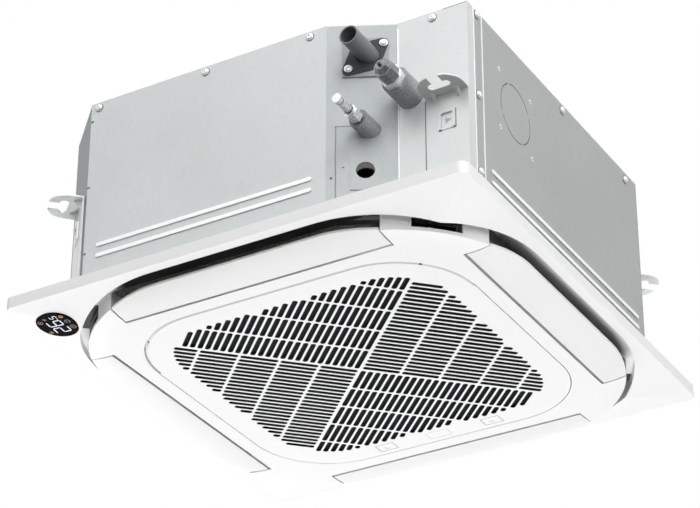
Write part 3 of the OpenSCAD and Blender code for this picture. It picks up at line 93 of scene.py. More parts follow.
def galvanised_sheet(name, dark, light, walls=False):
    """Zinc-coated steel: matt, with faint crystals of 5 mm and streaks from the rolls that catch a raking light.

    The streaks are 0.7 mm wide, coarser than real ones, so that they show. On the casing's walls the beads that the
    press draws out get a painted highlight, and the sheet that bevels the corners gets painted shade.
    """
    material, tree, shader, place = begin(name, Metallic=0.25)
    crystals = add(tree, "ShaderNodeTexVoronoi", Vector=place, Scale=1 / (5 * MM))
    cloud = add(tree, "ShaderNodeTexNoise", Vector=place, Scale=1 / (120 * MM), Detail=3.0)
    tone = add(tree, "ShaderNodeMath", {"operation": "MULTIPLY_ADD"}, i0=crystals.outputs["Color"], i1=0.3,
               i2=cloud.outputs[0])
    colour = add(tree, "ShaderNodeMix", {"data_type": "RGBA"}, i0=tone.outputs[0], i6=linear(dark), i7=linear(light))
    if walls:
        parts = add(tree, "ShaderNodeSeparateXYZ", Vector=place)
        sides = [add(tree, "ShaderNodeMath", {"operation": "ABSOLUTE"}, i0=parts.outputs[k]).outputs[0]
                 for k in (0, 1)]
        out = add(tree, "ShaderNodeMath", {"operation": "MAXIMUM"}, i0=sides[0], i1=sides[1])
        # Painted highlight where a bead stands out of its wall
        drawn = add(tree, "ShaderNodeMapRange", Value=out.outputs[0], From_Min=(CASE + BEAD_RISE[0]) * MM,
                    From_Max=(CASE + BEAD_RISE[1]) * MM)
        colour = add(tree, "ShaderNodeMix", {"data_type": "RGBA"}, i0=drawn.outputs[0], i6=colour.outputs[2],
                     i7=linear(BEAD_HIGHLIGHT))
        # Painted shade on the sheet that bevels the corners
        both = add(tree, "ShaderNodeMath", {"operation": "ADD"}, i0=sides[0], i1=sides[1])
        bevel = add(tree, "ShaderNodeMapRange", Value=both.outputs[0], From_Min=BEVEL_SUM * MM,
                    From_Max=(BEVEL_SUM + 1.0) * MM)
        inward = add(tree, "ShaderNodeMapRange", Value=out.outputs[0], From_Min=(CASE - BEVEL_START[0]) * MM,
                     From_Max=(CASE - BEVEL_START[1]) * MM)
        bevel = add(tree, "ShaderNodeMath", {"operation": "MULTIPLY"}, i0=bevel.outputs[0], i1=inward.outputs[0])
        colour = add(tree, "ShaderNodeMix", {"data_type": "RGBA"}, i0=bevel.outputs[0], i6=colour.outputs[2],
                     i7=linear(BEVEL_SHADE_ZINC))
    rolled = add(tree, "ShaderNodeMapping", Vector=place, Scale=(1 / (20 * MM), 1 / (20 * MM), 1 / (0.7 * MM)))
    grain = add(tree, "ShaderNodeTexNoise", Vector=rolled.outputs[0], Scale=1.0, Detail=3.0)
    gloss = add(tree, "ShaderNodeMapRange", Value=grain.outputs[0], To_Min=0.4, To_Max=0.62)
    bump = add(tree, "ShaderNodeBump", Height=grain.outputs[0], Distance=0.015 * MM, Strength=1.0)
    fill(tree, shader, Base_Color=colour.outputs[2], Roughness=gloss.outputs[0], Normal=bump.outputs[0])
    return material


# Where the lowered centre gets its painted shade: along a side up to an outlet's end, near a corner's diagonal, and
# not beside the frame of the left and right outlets
OUTLET_END = (158, 182)
CORNER_REACH = 42
FRAME_SIDE = (270, 296)
THROAT_SHADE_BLACK = "#1d1e1f"
SLOT_SHADE_BLACK = "#202122"


def moulded_plastic(name, dark, light, roughness, grit_mm=0.7, depth_mm=0.01, throat=None, slots=None):
    """Injection-moulded plastic: the mould's spark-eroded grain softens every highlight.

    The grain is drawn several times coarser than the real one, so that it shows. Inside the outlets and the slots a
    real casing is full of shadow, and here that shade is painted into the plastic's colour. With a throat, (lowest,
    highest), painted shade darkens it above that height along the outlets. With slots, (lowest, highest, half width
    of the field), the walls of the cut-outs between these heights get painted shade.
    """
    material, tree, shader, place = begin(name, IOR=1.5)
    cloud = add(tree, "ShaderNodeTexNoise", Vector=place, Scale=1 / (160 * MM), Detail=1.0)
    colour = add(tree, "ShaderNodeMix", {"data_type": "RGBA"}, i0=cloud.outputs[0], i6=linear(dark), i7=linear(light))
    if throat or slots:
        parts = add(tree, "ShaderNodeSeparateXYZ", Vector=place)
    if throat:
        # Painted shade above the outlets
        deep = add(tree, "ShaderNodeMapRange", Value=parts.outputs[2], From_Min=throat[0] * MM,
                   From_Max=throat[1] * MM)
        sides = [add(tree, "ShaderNodeMath", {"operation": "ABSOLUTE"}, i0=parts.outputs[k]).outputs[0]
                 for k in (0, 1)]
        nearest = add(tree, "ShaderNodeMath", {"operation": "MINIMUM"}, i0=sides[0], i1=sides[1])
        straight = add(tree, "ShaderNodeMapRange", Value=nearest.outputs[0], From_Min=OUTLET_END[0] * MM,
                       From_Max=OUTLET_END[1] * MM, To_Min=1.0, To_Max=0.1)
        slant = add(tree, "ShaderNodeMath", {"operation": "SUBTRACT"}, i0=sides[0], i1=sides[1])
        corner = add(tree, "ShaderNodeMath", {"operation": "COMPARE"}, i0=slant.outputs[0], i1=0.0,
                     i2=CORNER_REACH * MM)
        outlet = add(tree, "ShaderNodeMath", {"operation": "MAXIMUM"}, i0=straight.outputs[0], i1=corner.outputs[0])
        open_side = add(tree, "ShaderNodeMapRange", Value=sides[0], From_Min=FRAME_SIDE[0] * MM,
                        From_Max=FRAME_SIDE[1] * MM, To_Min=1.0, To_Max=0.1)
        for factor in (outlet, open_side):
            deep = add(tree, "ShaderNodeMath", {"operation": "MULTIPLY"}, i0=deep.outputs[0], i1=factor.outputs[0])
        colour = add(tree, "ShaderNodeMix", {"data_type": "RGBA"}, i0=deep.outputs[0], i6=colour.outputs[2],
                     i7=linear(THROAT_SHADE_BLACK))
    if slots:
        # Painted shade on the walls of the slots
        walls = add(tree, "ShaderNodeMath", {"operation": "COMPARE"}, i0=parts.outputs[2],
                    i1=(slots[0] + slots[1]) / 2 * MM, i2=(slots[1] - slots[0]) / 2 * MM)
        for k in (0, 1):
            field = add(tree, "ShaderNodeMath", {"operation": "COMPARE"}, i0=parts.outputs[k], i1=0.0,
                        i2=slots[2] * MM)
            walls = add(tree, "ShaderNodeMath", {"operation": "MULTIPLY"}, i0=walls.outputs[0], i1=field.outputs[0])
        colour = add(tree, "ShaderNodeMix", {"data_type": "RGBA"}, i0=walls.outputs[0], i6=colour.outputs[2],
                     i7=linear(SLOT_SHADE_BLACK))
    grit = add(tree, "ShaderNodeTexNoise", Vector=place, Scale=1 / (grit_mm * MM), Detail=2.0)
    gloss = add(tree, "ShaderNodeMapRange", Value=grit.outputs[0], To_Min=roughness - 0.07, To_Max=roughness + 0.07)
    bump = add(tree, "ShaderNodeBump", Height=grit.outputs[0], Distance=depth_mm * MM, Strength=1.0)
    fill(tree, shader, Base_Color=colour.outputs[2], Roughness=gloss.outputs[0], Normal=bump.outputs[0])
    return material


def cell_foam(name, dark, light, cell_mm):
    """Foam: round cells with darker seams in a dull skin, the size of the beads or pores."""
    material, tree, shader, place = begin(name, IOR=1.45)
    cells = add(tree, "ShaderNodeTexVoronoi", Vector=place, Scale=1 / (cell_mm * MM))
    colour = add(tree, "ShaderNodeMix", {"data_type": "RGBA"}, i0=cells.outputs["Distance"], i6=linear(light),
                 i7=linear(dark))
    gloss = add(tree, "ShaderNodeMapRange", Value=cells.outputs["Distance"], To_Min=0.75, To_Max=0.95)
    bump = add(tree, "ShaderNodeBump", {"invert": True}, Height=cells.outputs["Distance"],
               Distance=0.12 * cell_mm * MM, Strength=1.0)
    fill(tree, shader, Base_Color=colour.outputs[2], Roughness=gloss.outputs[0], Normal=bump.outputs[0])
    return material


def turned_metal(name, dark, light, metallic, roughness, bands=()):
    """Turned and plated metal: tool marks give a broken, silky gloss.

    The marks are 0.4 mm wide, coarser than real ones, so that they show. Bands, (lowest, highest, colour) along Y,
    are ends and parts of another colour, and painted shade in grooves.
    """
    material, tree, shader, place = begin(name, Metallic=metallic)
    along = add(tree, "ShaderNodeMapping", Vector=place, Scale=(1 / (6 * MM), 1 / (0.4 * MM), 1 / (6 * MM)))
    marks = add(tree, "ShaderNodeTexNoise", Vector=along.outputs[0], Scale=1.0, Detail=2.0)
    colour = add(tree, "ShaderNodeMix", {"data_type": "RGBA"}, i0=marks.outputs[0], i6=linear(dark), i7=linear(light))
    if bands:
        along_y = add(tree, "ShaderNodeSeparateXYZ", Vector=place).outputs[1]
    for low, high, band in bands:
        inside = add(tree, "ShaderNodeMath", {"operation": "COMPARE"}, i0=along_y, i1=(low + high) / 2 * MM,
                     i2=(high - low) / 2 * MM)
        colour = add(tree, "ShaderNodeMix", {"data_type": "RGBA"}, i0=inside.outputs[0], i6=colour.outputs[2],
                     i7=linear(band))
    gloss = add(tree, "ShaderNodeMapRange", Value=marks.outputs[0], To_Min=roughness - 0.08, To_Max=roughness + 0.1)
    bump = add(tree, "ShaderNodeBump", Height=marks.outputs[0], Distance=0.004 * MM, Strength=1.0)
    fill(tree, shader, Base_Color=colour.outputs[2], Roughness=gloss.outputs[0], Normal=bump.outputs[0])
    return material


def drawn_copper(name):
    """Copper tube: bright where the drawing die polished it, browner and duller where hands left marks."""
    material, tree, shader, place = begin(name, Metallic=1.0)
    stain = add(tree, "ShaderNodeTexNoise", Vector=place, Scale=1 / (25 * MM), Detail=4.0)
    colour = add(tree, "ShaderNodeMix", {"data_type": "RGBA"}, i0=stain.outputs[0], i6=linear("#d08a63"),
                 i7=linear("#8a4f35"))
    gloss = add(tree, "ShaderNodeMapRange", Value=stain.outputs[0], To_Min=0.22, To_Max=0.5)
    fill(tree, shader, Base_Color=colour.outputs[2], Roughness=gloss.outputs[0])
    return material


def finned_aluminium(name):
    """The coil's block: thin upright fins 1.6 mm apart read as fine bright lines of aluminium on all four sides, with
    painted shade in the gaps between them.
    """
    material, tree, shader, place = begin(name, Metallic=0.7)
    parts = add(tree, "ShaderNodeSeparateXYZ", Vector=place)
    across = add(tree, "ShaderNodeMath", {"operation": "ADD"}, i0=parts.outputs[0], i1=parts.outputs[1])
    turns = add(tree, "ShaderNodeMath", {"operation": "MULTIPLY"}, i0=across.outputs[0], i1=2 * math.pi / (1.6 * MM))
    wave = add(tree, "ShaderNodeMath", {"operation": "SINE"}, i0=turns.outputs[0])
    lines = add(tree, "ShaderNodeMapRange", Value=wave.outputs[0], From_Min=-1.0)
    colour = add(tree, "ShaderNodeMix", {"data_type": "RGBA"}, i0=lines.outputs[0], i6=linear("#5d6264"),
                 i7=linear("#d6dadb"))
    gloss = add(tree, "ShaderNodeMapRange", Value=lines.outputs[0], To_Min=0.6, To_Max=0.35)
    bump = add(tree, "ShaderNodeBump", Height=lines.outputs[0], Distance=0.3 * MM, Strength=1.0)
    fill(tree, shader, Base_Color=colour.outputs[2], Roughness=gloss.outputs[0], Normal=bump.outputs[0])
    return material


def woven_filter(name):
    """Dust filter: black threads crossing every 1.5 mm, coarser than real ones, with painted shade in the holes
    between them.
    """
    material, tree, shader, place = begin(name, IOR=1.49, Specular_IOR_Level=0.1)
    parts = add(tree, "ShaderNodeSeparateXYZ", Vector=place)
    threads = []
    for axis in (0, 1):
        turns = add(tree, "ShaderNodeMath", {"operation": "MULTIPLY"}, i0=parts.outputs[axis],
                    i1=2 * math.pi / (1.5 * MM))
        threads.append(add(tree, "ShaderNodeMath", {"operation": "SINE"}, i0=turns.outputs[0]).outputs[0])
    top = add(tree, "ShaderNodeMath", {"operation": "MAXIMUM"}, i0=threads[0], i1=threads[1])
    weave = add(tree, "ShaderNodeMapRange", Value=top.outputs[0], From_Min=-1.0)
    colour = add(tree, "ShaderNodeMix", {"data_type": "RGBA"}, i0=weave.outputs[0], i6=linear("#050506"),
                 i7=linear("#1f2022"))
    gloss = add(tree, "ShaderNodeMapRange", Value=weave.outputs[0], To_Min=0.95, To_Max=0.6)
    bump = add(tree, "ShaderNodeBump", Height=weave.outputs[0], Distance=0.25 * MM, Strength=1.0)
    fill(tree, shader, Base_Color=colour.outputs[2], Roughness=gloss.outputs[0], Normal=bump.outputs[0])
    return material


def circuit_board(name):
    """Glass-epoxy board: glossy green solder resist, paler where copper tracks run 3 mm apart under it."""
    material, tree, shader, place = begin(name, IOR=1.55, Roughness=0.3)
    tracks = add(tree, "ShaderNodeTexBrick", Vector=place, Scale=1 / (12 * MM), Color1=linear("#1e5a35"),
                 Color2=linear("#24683e"), Mortar=linear("#5d9a67"), Mortar_Size=0.05)
    bump = add(tree, "ShaderNodeBump", Height=tracks.outputs[1], Distance=0.04 * MM, Strength=1.0)
    fill(tree, shader, Base_Color=tracks.outputs[0], Normal=bump.outputs[0])
    return material


def lacquered_black(name):
    """Black acrylic window: its coated face hardly mirrors the room, with faint smears."""
    material, tree, shader, place = begin(name, IOR=1.49, Specular_IOR_Level=0.004)
    smear = add(tree, "ShaderNodeTexNoise", Vector=place, Scale=1 / (12 * MM), Detail=2.0)
    colour = add(tree, "ShaderNodeMix", {"data_type": "RGBA"}, i0=smear.outputs[0], i6=linear("#050506"),
                 i7=linear("#0d0d0f"))
    gloss = add(tree, "ShaderNodeMapRange", Value=smear.outputs[0], To_Min=0.08, To_Max=0.16)
    fill(tree, shader, Base_Color=colour.outputs[2], Roughness=gloss.outputs[0])
    return material


def lit_segment(name, dim, bright, strength):
    """A lit part of the display: its lamp sits behind a diffuser and shines a little unevenly through it."""
    material, tree, shader, place = begin(name, Emission_Strength=strength, Roughness=0.4)
    glow = add(tree, "ShaderNodeTexNoise", Vector=place, Scale=1 / (3 * MM), Detail=1.0)
    colour = add(tree, "ShaderNodeMix", {"data_type": "RGBA"}, i0=glow.outputs[0], i6=linear(dim), i7=linear(bright))
    fill(tree, shader, Base_Color=linear("#101012"), Emission_Color=colour.outputs[2])
    return material


# Two tones, roughness, size of the grain and its depth
PANEL_WHITE = ("#f6f6f6", "#fafafa", 0.42, 0.9, 0.012)

# The finish of each of the record's material slots
FINISHES = {
    "galvanised_sheet": galvanised_sheet("galvanised steel sheet", "#c5c9c9", "#d2d6d6", walls=True),
    "drain_plastic": moulded_plastic("grey drain plastic", "#5e6063", "#86888b", 0.34, 1.6, 0.16),
    "copper": drawn_copper("drawn copper"),
    "nut_metal": turned_metal("plated brass nut", "#a9adaf", "#d4d7d8", 0.75, 0.3),
    "sleeve_foam": cell_foam("pipe insulation foam", "#77797b", "#b2b4b6", 1.3),
    "foam": cell_foam("moulded polystyrene", "#d9d8d2", "#f0efea", 3.0),
    "coil_aluminium": finned_aluminium("finned aluminium"),
    "pump_plastic": moulded_plastic("off-white pump plastic", "#dcdbd4", "#e6e5de", 0.45),
    "hose_rubber": moulded_plastic("black rubber", "#232426", "#323335", 0.7),
    "motor_steel": moulded_plastic("grey enamelled steel", "#8f9498", "#a6abaf", 0.35),
    "fan_plastic": moulded_plastic("light grey fan plastic", "#c6c8c8", "#d4d6d6", 0.5),
    "bell_plastic": moulded_plastic("white bell mouth plastic", "#e2e2df", "#ececea", 0.42),
    "board_green": circuit_board("green circuit board"),
    "panel_white": moulded_plastic("white panel plastic", *PANEL_WHITE),
    "flap_white": moulded_plastic("white flap plastic", "#f0f0f0", "#f5f5f5", 0.36, 0.8, 0.006),
    "latch_white": moulded_plastic("white latch plastic", *PANEL_WHITE),
    "display_black": lacquered_black("black acrylic window"),
    "filter_black": woven_filter("woven black filter"),
}

# Reads as paler sheet than the walls
CORNER_SHEET = galvanised_sheet("galvanised steel sheet, corner", "#ccd0cf", "#d8dbdb")
# Darker copy of the sheet: painted shade on the slanted pipe plate and its cover
PIPE_SHEET = galvanised_sheet("galvanised steel sheet, pipe plate in painted shade", "#9b9fa0", "#a9adad")
# Reads as the palest steel on the casing, brackets paler than the walls
HANGER_SHEET = galvanised_sheet("galvanised steel bracket", "#e4e7e7", "#f1f3f3")

# From and up to which height the walls above the outlets turn dark with painted shade
THROAT = (-158.0, -154.0)
# The lowest and highest point of the painted shade on the slots' walls, and half the width of their field
SLOTS = (-173.25, -170.65, 187.0)

# Nodes whose finish differs from their slot's
OWN_FINISHES = {
    "corner_sheet": CORNER_SHEET,
    "hanger_near": CORNER_SHEET,
    "hanger_left": HANGER_SHEET,
    "hanger_right": HANGER_SHEET,
    "hanger_back": HANGER_SHEET,
    "pipe_plate": PIPE_SHEET,
    "pipe_cover": PIPE_SHEET,
    # Darker sheet: painted shade on this wall, which reads darker beside the front wall
    "right_wall": galvanised_sheet("galvanised steel sheet, right wall in painted shade", "#a3a5a5", "#b0b2b2", walls=True),
    "panel_centre": moulded_plastic("white panel plastic, painted throat shade", *PANEL_WHITE, throat=THROAT),
    "intake_grille": moulded_plastic("white panel plastic, grille with painted slot shade", *PANEL_WHITE, slots=SLOTS),
    # The frame's grain is coarser and deeper than the centre's, which takes the shine off its slope
    "panel_frame": moulded_plastic("white panel plastic, frame", *PANEL_WHITE[:3], 1.6, 0.05),
    "drain_flange": moulded_plastic("grey flange plate", "#939598", "#a0a2a4", 0.42, 0.9, 0.02),
    # A bright nut under a dull cap with a dark end
    "gas_nut": turned_metal("dull cap with a plated nut", "#4c4e4f", "#a9abac", 0.7, 0.28,
                            bands=[(-296.0, -285.0, "#f0f1f2"), (-324.0, -320.4, "#3a3b3c")]),
    # A bright fitting; the dark bands in the grooves between its nut, its body and its cap are painted shade
    "liquid_nut": turned_metal("plated brass fitting", "#cfd2d3", "#f1f2f2", 0.6, 0.26,
                               bands=[(-292.3, -289.0, "#2c2d2e"), (-332.3, -330.1, "#2c2d2e"),
                                      (-312.3, -310.8, "#6d6f71")]),
}

for subpart in frame["record"]["subparts"]:
    finish = OWN_FINISHES.get(subpart["node"], FINISHES[subpart["material_slot"]])
    for material_slot in frame["nodes"][subpart["node"]].material_slots:
        material_slot.material = finish


# Camera, light and floor, in metres

# The camera was fitted to the photograph: its place and the axes of its picture
CAMERA_PLACE = (1.43147, -2.48971, -1.70289)
CAMERA_RIGHT = Vector((0.86506968, 0.50165016, 0.00125251))
CAMERA_DOWN = Vector((-0.25382203, 0.43985377, -0.86145403))
CAMERA_FORWARD = Vector((-0.43269947, 0.74489984, 0.50783402))

camera_data = bpy.data.cameras.new("camera")
camera_data.lens = 137.154
camera_data.sensor_width = 36.0
camera_data.clip_end = 100.0
camera = bpy.data.objects.new("camera", camera_data)
turn = Matrix((CAMERA_RIGHT, -CAMERA_DOWN, -CAMERA_FORWARD)).transposed().to_4x4()
camera.matrix_world = Matrix.Translation(CAMERA_PLACE) @ turn
bpy.context.collection.objects.link(camera)
scene = bpy.context.scene
scene.camera = camera
scene.view_settings.view_transform = "Standard"

LAMP_TARGET = Vector((0.0, 0.0, -0.03))
LAMP_DISTANCE = 3.8
LAMP_WIDTH = 1.8
# Name, direction round the object in degrees, height in degrees, level
LAMPS = (
    ("far floor soft box", 100, -60, 0.48),
    ("floor soft box", 0, -90, 0.3),
    ("high corner soft box", -45, 35, 0.38),
    ("high front soft box", -90, 35, 0.3),
    ("corner soft box", -60, 0, 0.17),
    ("right soft box", 0, 4, 0.44),
    ("front left soft box", -122, 0, 0.1),
    ("back left soft box", 150, -30, 0.3),
    ("back high soft box", 135, 35, 0.22),
)


def soft_light(name, around, up, level):
    """A square soft box that points at the object. Level 1 renders a facing surface at its own colour."""
    data = bpy.data.lights.new(name, "AREA")
    data.size = LAMP_WIDTH
    data.energy = level * math.pi ** 2 * LAMP_DISTANCE ** 2
    around, up = math.radians(around), math.radians(up)
    way = Vector((math.cos(around) * math.cos(up), math.sin(around) * math.cos(up), math.sin(up)))
    lamp = bpy.data.objects.new(name, data)
    lamp.location = LAMP_TARGET + way * LAMP_DISTANCE
    lamp.rotation_euler = (-way).to_track_quat("-Z", "Y").to_euler()
    bpy.context.collection.objects.link(lamp)


for lamp_values in LAMPS:
    soft_light(*lamp_values)

# The camera, gloss and glass see a white room, and everything else a dim one
ROOM_LIGHT = 0.06
world = bpy.data.worlds.new("studio")
scene.world = world
world.use_nodes = True
tree = world.node_tree
tree.nodes.clear()
path = add(tree, "ShaderNodeLightPath")
seen = add(tree, "ShaderNodeMath", {"operation": "MAXIMUM"}, i0=path.outputs["Is Camera Ray"],
           i1=path.outputs["Is Glossy Ray"])
seen = add(tree, "ShaderNodeMath", {"operation": "MAXIMUM"}, i0=seen.outputs[0],
           i1=path.outputs["Is Transmission Ray"])
dim = add(tree, "ShaderNodeBackground", Color=linear("#ffffff"), Strength=ROOM_LIGHT)
white = add(tree, "ShaderNodeBackground", Color=linear("#ffffff"), Strength=1.0)
mixed = add(tree, "ShaderNodeMixShader", i0=seen.outputs[0], i1=dim.outputs[0], i2=white.outputs[0])
add(tree, "ShaderNodeOutputWorld", Surface=mixed.outputs[0])

FLOOR_HEIGHT = -6.5
FLOOR_REACH = 30.0


def studio_floor():
    """A pale floor, far enough below to be under every view from underneath."""
    mesh = bpy.data.meshes.new("floor")
    corners = ((-1, -1), (1, -1), (1, 1), (-1, 1))
    mesh.from_pydata([(x * FLOOR_REACH, y * FLOOR_REACH, FLOOR_HEIGHT) for x, y in corners], [], [(0, 1, 2, 3)])
    floor = bpy.data.objects.new("floor", mesh)
    bpy.context.collection.objects.link(floor)
    material, tree, shader, _ = begin("pale floor paint", Base_Color=linear("#f2f2f0"), Roughness=0.8)
    path = add(tree, "ShaderNodeLightPath")
    glow = add(tree, "ShaderNodeEmission", Color=linear("#ffffff"), Strength=1.0)
    mixed = add(tree, "ShaderNodeMixShader", i0=path.outputs["Is Camera Ray"], i1=shader.outputs[0],
                i2=glow.outputs[0])
    tree.links.new(mixed.outputs[0], tree.nodes["Material Output"].inputs[0])
    mesh.materials.append(material)


studio_floor()


# How small pieces are made

def as_mesh(name, bm):
    """A bmesh as a mesh."""
    mesh = bpy.data.meshes.new(name)
    bm.to_mesh(mesh)
    bm.free()
    return mesh


def finished(name, mesh, material, body="casing"):
    """A piece whose mesh is in place, with its material and its body."""
    mesh.materials.clear()
    mesh.materials.append(material)
    piece = bpy.data.objects.new(name, mesh)
    bpy.context.collection.objects.link(piece)
    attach(piece, body)


def circle(radius, sides=96):
    """The points of a circle."""
    steps = [2 * math.pi * k / sides for k in range(sides)]
    return [(radius * math.cos(step), radius * math.sin(step)) for step in steps]


def rectangle(length, width):
    """The corners of a rectangle about its middle."""
    return [(-length / 2, -width / 2), (length / 2, -width / 2), (length / 2, width / 2), (-length / 2, width / 2)]


def at_height(bm, outline, height):
    """An outline's points at a height."""
    return [bm.verts.new((x * MM, y * MM, height * MM)) for x, y in outline]


def skirt(bm, one, other, closed=True):
    """Faces between two loops of as many points, or between two open rows."""
    count = len(one)
    for k in range(count if closed else count - 1):
        after = (k + 1) % count
        bm.faces.new((one[k], one[after], other[after], other[k]))


def slab(bm, low, high):
    """A closed plate between two loops of as many points, whose normals are set later."""
    bm.faces.new(low)
    bm.faces.new(high)
    skirt(bm, low, high)


def hoop(bm, loops, closed=True):
    """Joins each loop or open row to the next, and the last one to the first."""
    for one, other in zip(loops, loops[1:] + loops[:1]):
        skirt(bm, one, other, closed)


def disc(radius, low, high, sides=24):
    """A flat round along +Z."""
    bm = bmesh.new()
    base, top = (at_height(bm, circle(radius, sides), z) for z in (low, high))
    skirt(bm, base, top)
    bm.faces.new(top)
    bm.faces.new(reversed(base))
    return as_mesh("disc", bm)


def screw_head():
    """A flanged pan-head screw along +Z, 5 mm in radius, with a cross sunk from its crown."""
    sides = 24
    bm = bmesh.new()
    profile = [(5.0, 0.0), (5.0, 0.9), (4.1, 0.9), (4.0, 2.2), (3.4, 3.1), (2.2, 3.6)]
    loops = [at_height(bm, circle(radius, sides), z) for radius, z in profile]
    # Two points of every six lie on one of the cross's four arms
    reach = [2.0 if k % 6 <= 1 else 0.7 for k in range(sides)]
    cross = [(x * far, y * far) for (x, y), far in zip(circle(1.0, sides), reach)]
    loops.append(at_height(bm, cross, 3.55))
    loops.append(at_height(bm, [(x * 0.8, y * 0.8) for x, y in cross], 1.6))
    for low, high in zip(loops, loops[1:]):
        skirt(bm, low, high)
    bm.faces.new(loops[-1])
    bm.faces.new(reversed(loops[0]))
    return as_mesh("screw head", bm)


def on_face(place, facing):
    """Turns (across, up, out) from a place on a face that looks outwards into a place in metres."""
    way = Vector(facing)
    across = Vector((1, 0, 0)) if abs(way.z) > 0.5 else Vector((0, 0, 1)).cross(way)
    up = way.cross(across)
    return lambda x, y, out: (Vector(place) + across * x + up * y + way * out) * MM


def flat_ring(name, outer, inner, place, facing, low, high, material, slot, body="casing"):
    """A thin closed ring between two outlines of as many points, on a face that looks outwards."""
    spot = on_face(place, facing)
    bm = bmesh.new()
    hoop(bm, [[bm.verts.new(spot(x, y, out)) for x, y in outline]
              for outline, out in ((inner, high), (outer, high), (outer, low), (inner, low))])
    bmesh.ops.recalc_face_normals(bm, faces=bm.faces)
    finished(name, as_mesh(name, bm), material, body)


def flat_plate(name, outline, place, facing, low, high, material):
    """A thin closed plate of one outline, on a face that looks outwards."""
    spot = on_face(place, facing)
    bm = bmesh.new()
    slab(bm, *([bm.verts.new(spot(x, y, out)) for x, y in outline] for out in (low, high)))
    bmesh.ops.recalc_face_normals(bm, faces=bm.faces)
    finished(name, as_mesh(name, bm), material)


def placed_copies(name, places, pattern, material, size=1.0):
    """Geometry Nodes set one copy of a pattern on each place, turned to face outwards, as one mesh."""
    mesh = bpy.data.meshes.new(name)
    mesh.from_pydata([tuple(c * MM for c in place) for place, _ in places], [], [])
    facing = mesh.attributes.new("facing", "FLOAT_VECTOR", "POINT")
    for k, (_, direction) in enumerate(places):
        facing.data[k].vector = direction
    source = bpy.data.objects.new(name + " pattern", pattern)
    bpy.context.collection.objects.link(source)
    carrier = bpy.data.objects.new(name + " carrier", mesh)
    bpy.context.collection.objects.link(carrier)

    group = bpy.data.node_groups.new(name, "GeometryNodeTree")
    group.interface.new_socket("Geometry", in_out="INPUT", socket_type="NodeSocketGeometry")
    pattern_input = group.interface.new_socket("Pattern", in_out="INPUT", socket_type="NodeSocketObject")
    size_input = group.interface.new_socket("Size", in_out="INPUT", socket_type="NodeSocketFloat")
    group.interface.new_socket("Geometry", in_out="OUTPUT", socket_type="NodeSocketGeometry")
    entry = add(group, "NodeGroupInput")
    copy = add(group, "GeometryNodeObjectInfo", Object=entry.outputs["Pattern"])
    way = add(group, "GeometryNodeInputNamedAttribute", {"data_type": "FLOAT_VECTOR"}, Name="facing")
    turned = add(group, "FunctionNodeAlignRotationToVector", {"axis": "Z"}, Vector=way.outputs[0])
    spread = add(group, "GeometryNodeInstanceOnPoints", Points=entry.outputs["Geometry"],
                 Instance=copy.outputs["Geometry"], Rotation=turned.outputs[0], Scale=entry.outputs["Size"])
    real = add(group, "GeometryNodeRealizeInstances", Geometry=spread.outputs[0])
    painted = add(group, "GeometryNodeSetMaterial", Geometry=real.outputs[0], Material=material)
    add(group, "NodeGroupOutput", Geometry=painted.outputs[0])

    modifier = carrier.modifiers.new("copies", "NODES")
    modifier.node_group = group
    modifier[pattern_input.identifier] = source
    modifier[size_input.identifier] = size
    depsgraph = bpy.context.evaluated_depsgraph_get()
    depsgraph.update()
    result = bpy.data.meshes.new_from_object(carrier.evaluated_get(depsgraph))
    for temporary in (carrier, source):
        bpy.data.objects.remove(temporary)
    return result


# Screws

FRONT, RIGHT, BACK, LEFT = (0, -1, 0), (1, 0, 0), (0, 1, 0), (-1, 0, 0)
DOWN = (0, 0, -1)

# The pipe plate slants inwards from the front wall
PLATE_START = (118.6, -CASE)
PLATE_TURN = math.radians(27.15)
PLATE = (math.sin(PLATE_TURN), -math.cos(PLATE_TURN), 0)
FLANGE_SCREW_OUT = 3.2


def on_pipe_plate(along, height):
    """The place of a drain flange's screw on the pipe plate."""
    return (PLATE_START[0] + along * math.cos(PLATE_TURN) + FLANGE_SCREW_OUT * PLATE[0],
            PLATE_START[1] + along * math.sin(PLATE_TURN) + FLANGE_SCREW_OUT * PLATE[1], height)


# Where the screws sit and which way they face: the row through the top plate's flange, the pipe corner, the right
# wall's row and front edge, and the drain flange
TOP_ROW = 113
SCREWS = [((x, -CASE, TOP_ROW), FRONT) for x in (-205, -50, 96)]
SCREWS += [((239.3, -247, TOP_ROW), FRONT)]
SCREWS += [((CASE, y, z), RIGHT) for y, z in ((-224, 115), (0.8, 111), (182, 109), (-224, 3), (-224, -101))]
SCREWS += [((x, CASE, TOP_ROW), BACK) for x in (-196, -60, 70, 196)]
SCREWS += [((-CASE, y, TOP_ROW), LEFT) for y in (-196, -60, 70, 196)]
SCREWS += [(on_pipe_plate(67, 92.4), PLATE), (on_pipe_plate(25.6, 56.6), PLATE)]

# New screws are the brightest metal on the casing
SCREW_STEEL = turned_metal("zinc-plated screw", "#e6e9e9", "#fbfcfc", 0.4, 0.34)
# Painted shadow under a head, in its recess and behind the fresh-air disc's slit
SHADOW_PAINT_BLACK = moulded_plastic("black painted shadow", "#1f2021", "#2c2d2e", 0.7)

for piece_name, pattern, material, slot in (
        ("casing_screws", screw_head(), SCREW_STEEL, "nut_metal"),
        ("screw_washers", disc(5.7, 0.0, 0.35), SHADOW_PAINT_BLACK, "hose_rubber"),
        ("screw_recesses", disc(1.5, 1.0, 1.75, 12), SHADOW_PAINT_BLACK, "hose_rubber")):
    copies = placed_copies(piece_name.replace("_", " "), SCREWS, pattern, material)
    finished(piece_name, copies, material)


# Painted shadow in gaps and cuts

# Painted shadow for gaps in which some light is left
GAP_SHADE_GREY = moulded_plastic("grey painted shadow in a gap", "#77787a", "#858688", 0.6)
GAP_SHADE_PALE = moulded_plastic("pale painted shadow in a gap", "#b9babb", "#c3c4c5", 0.6)
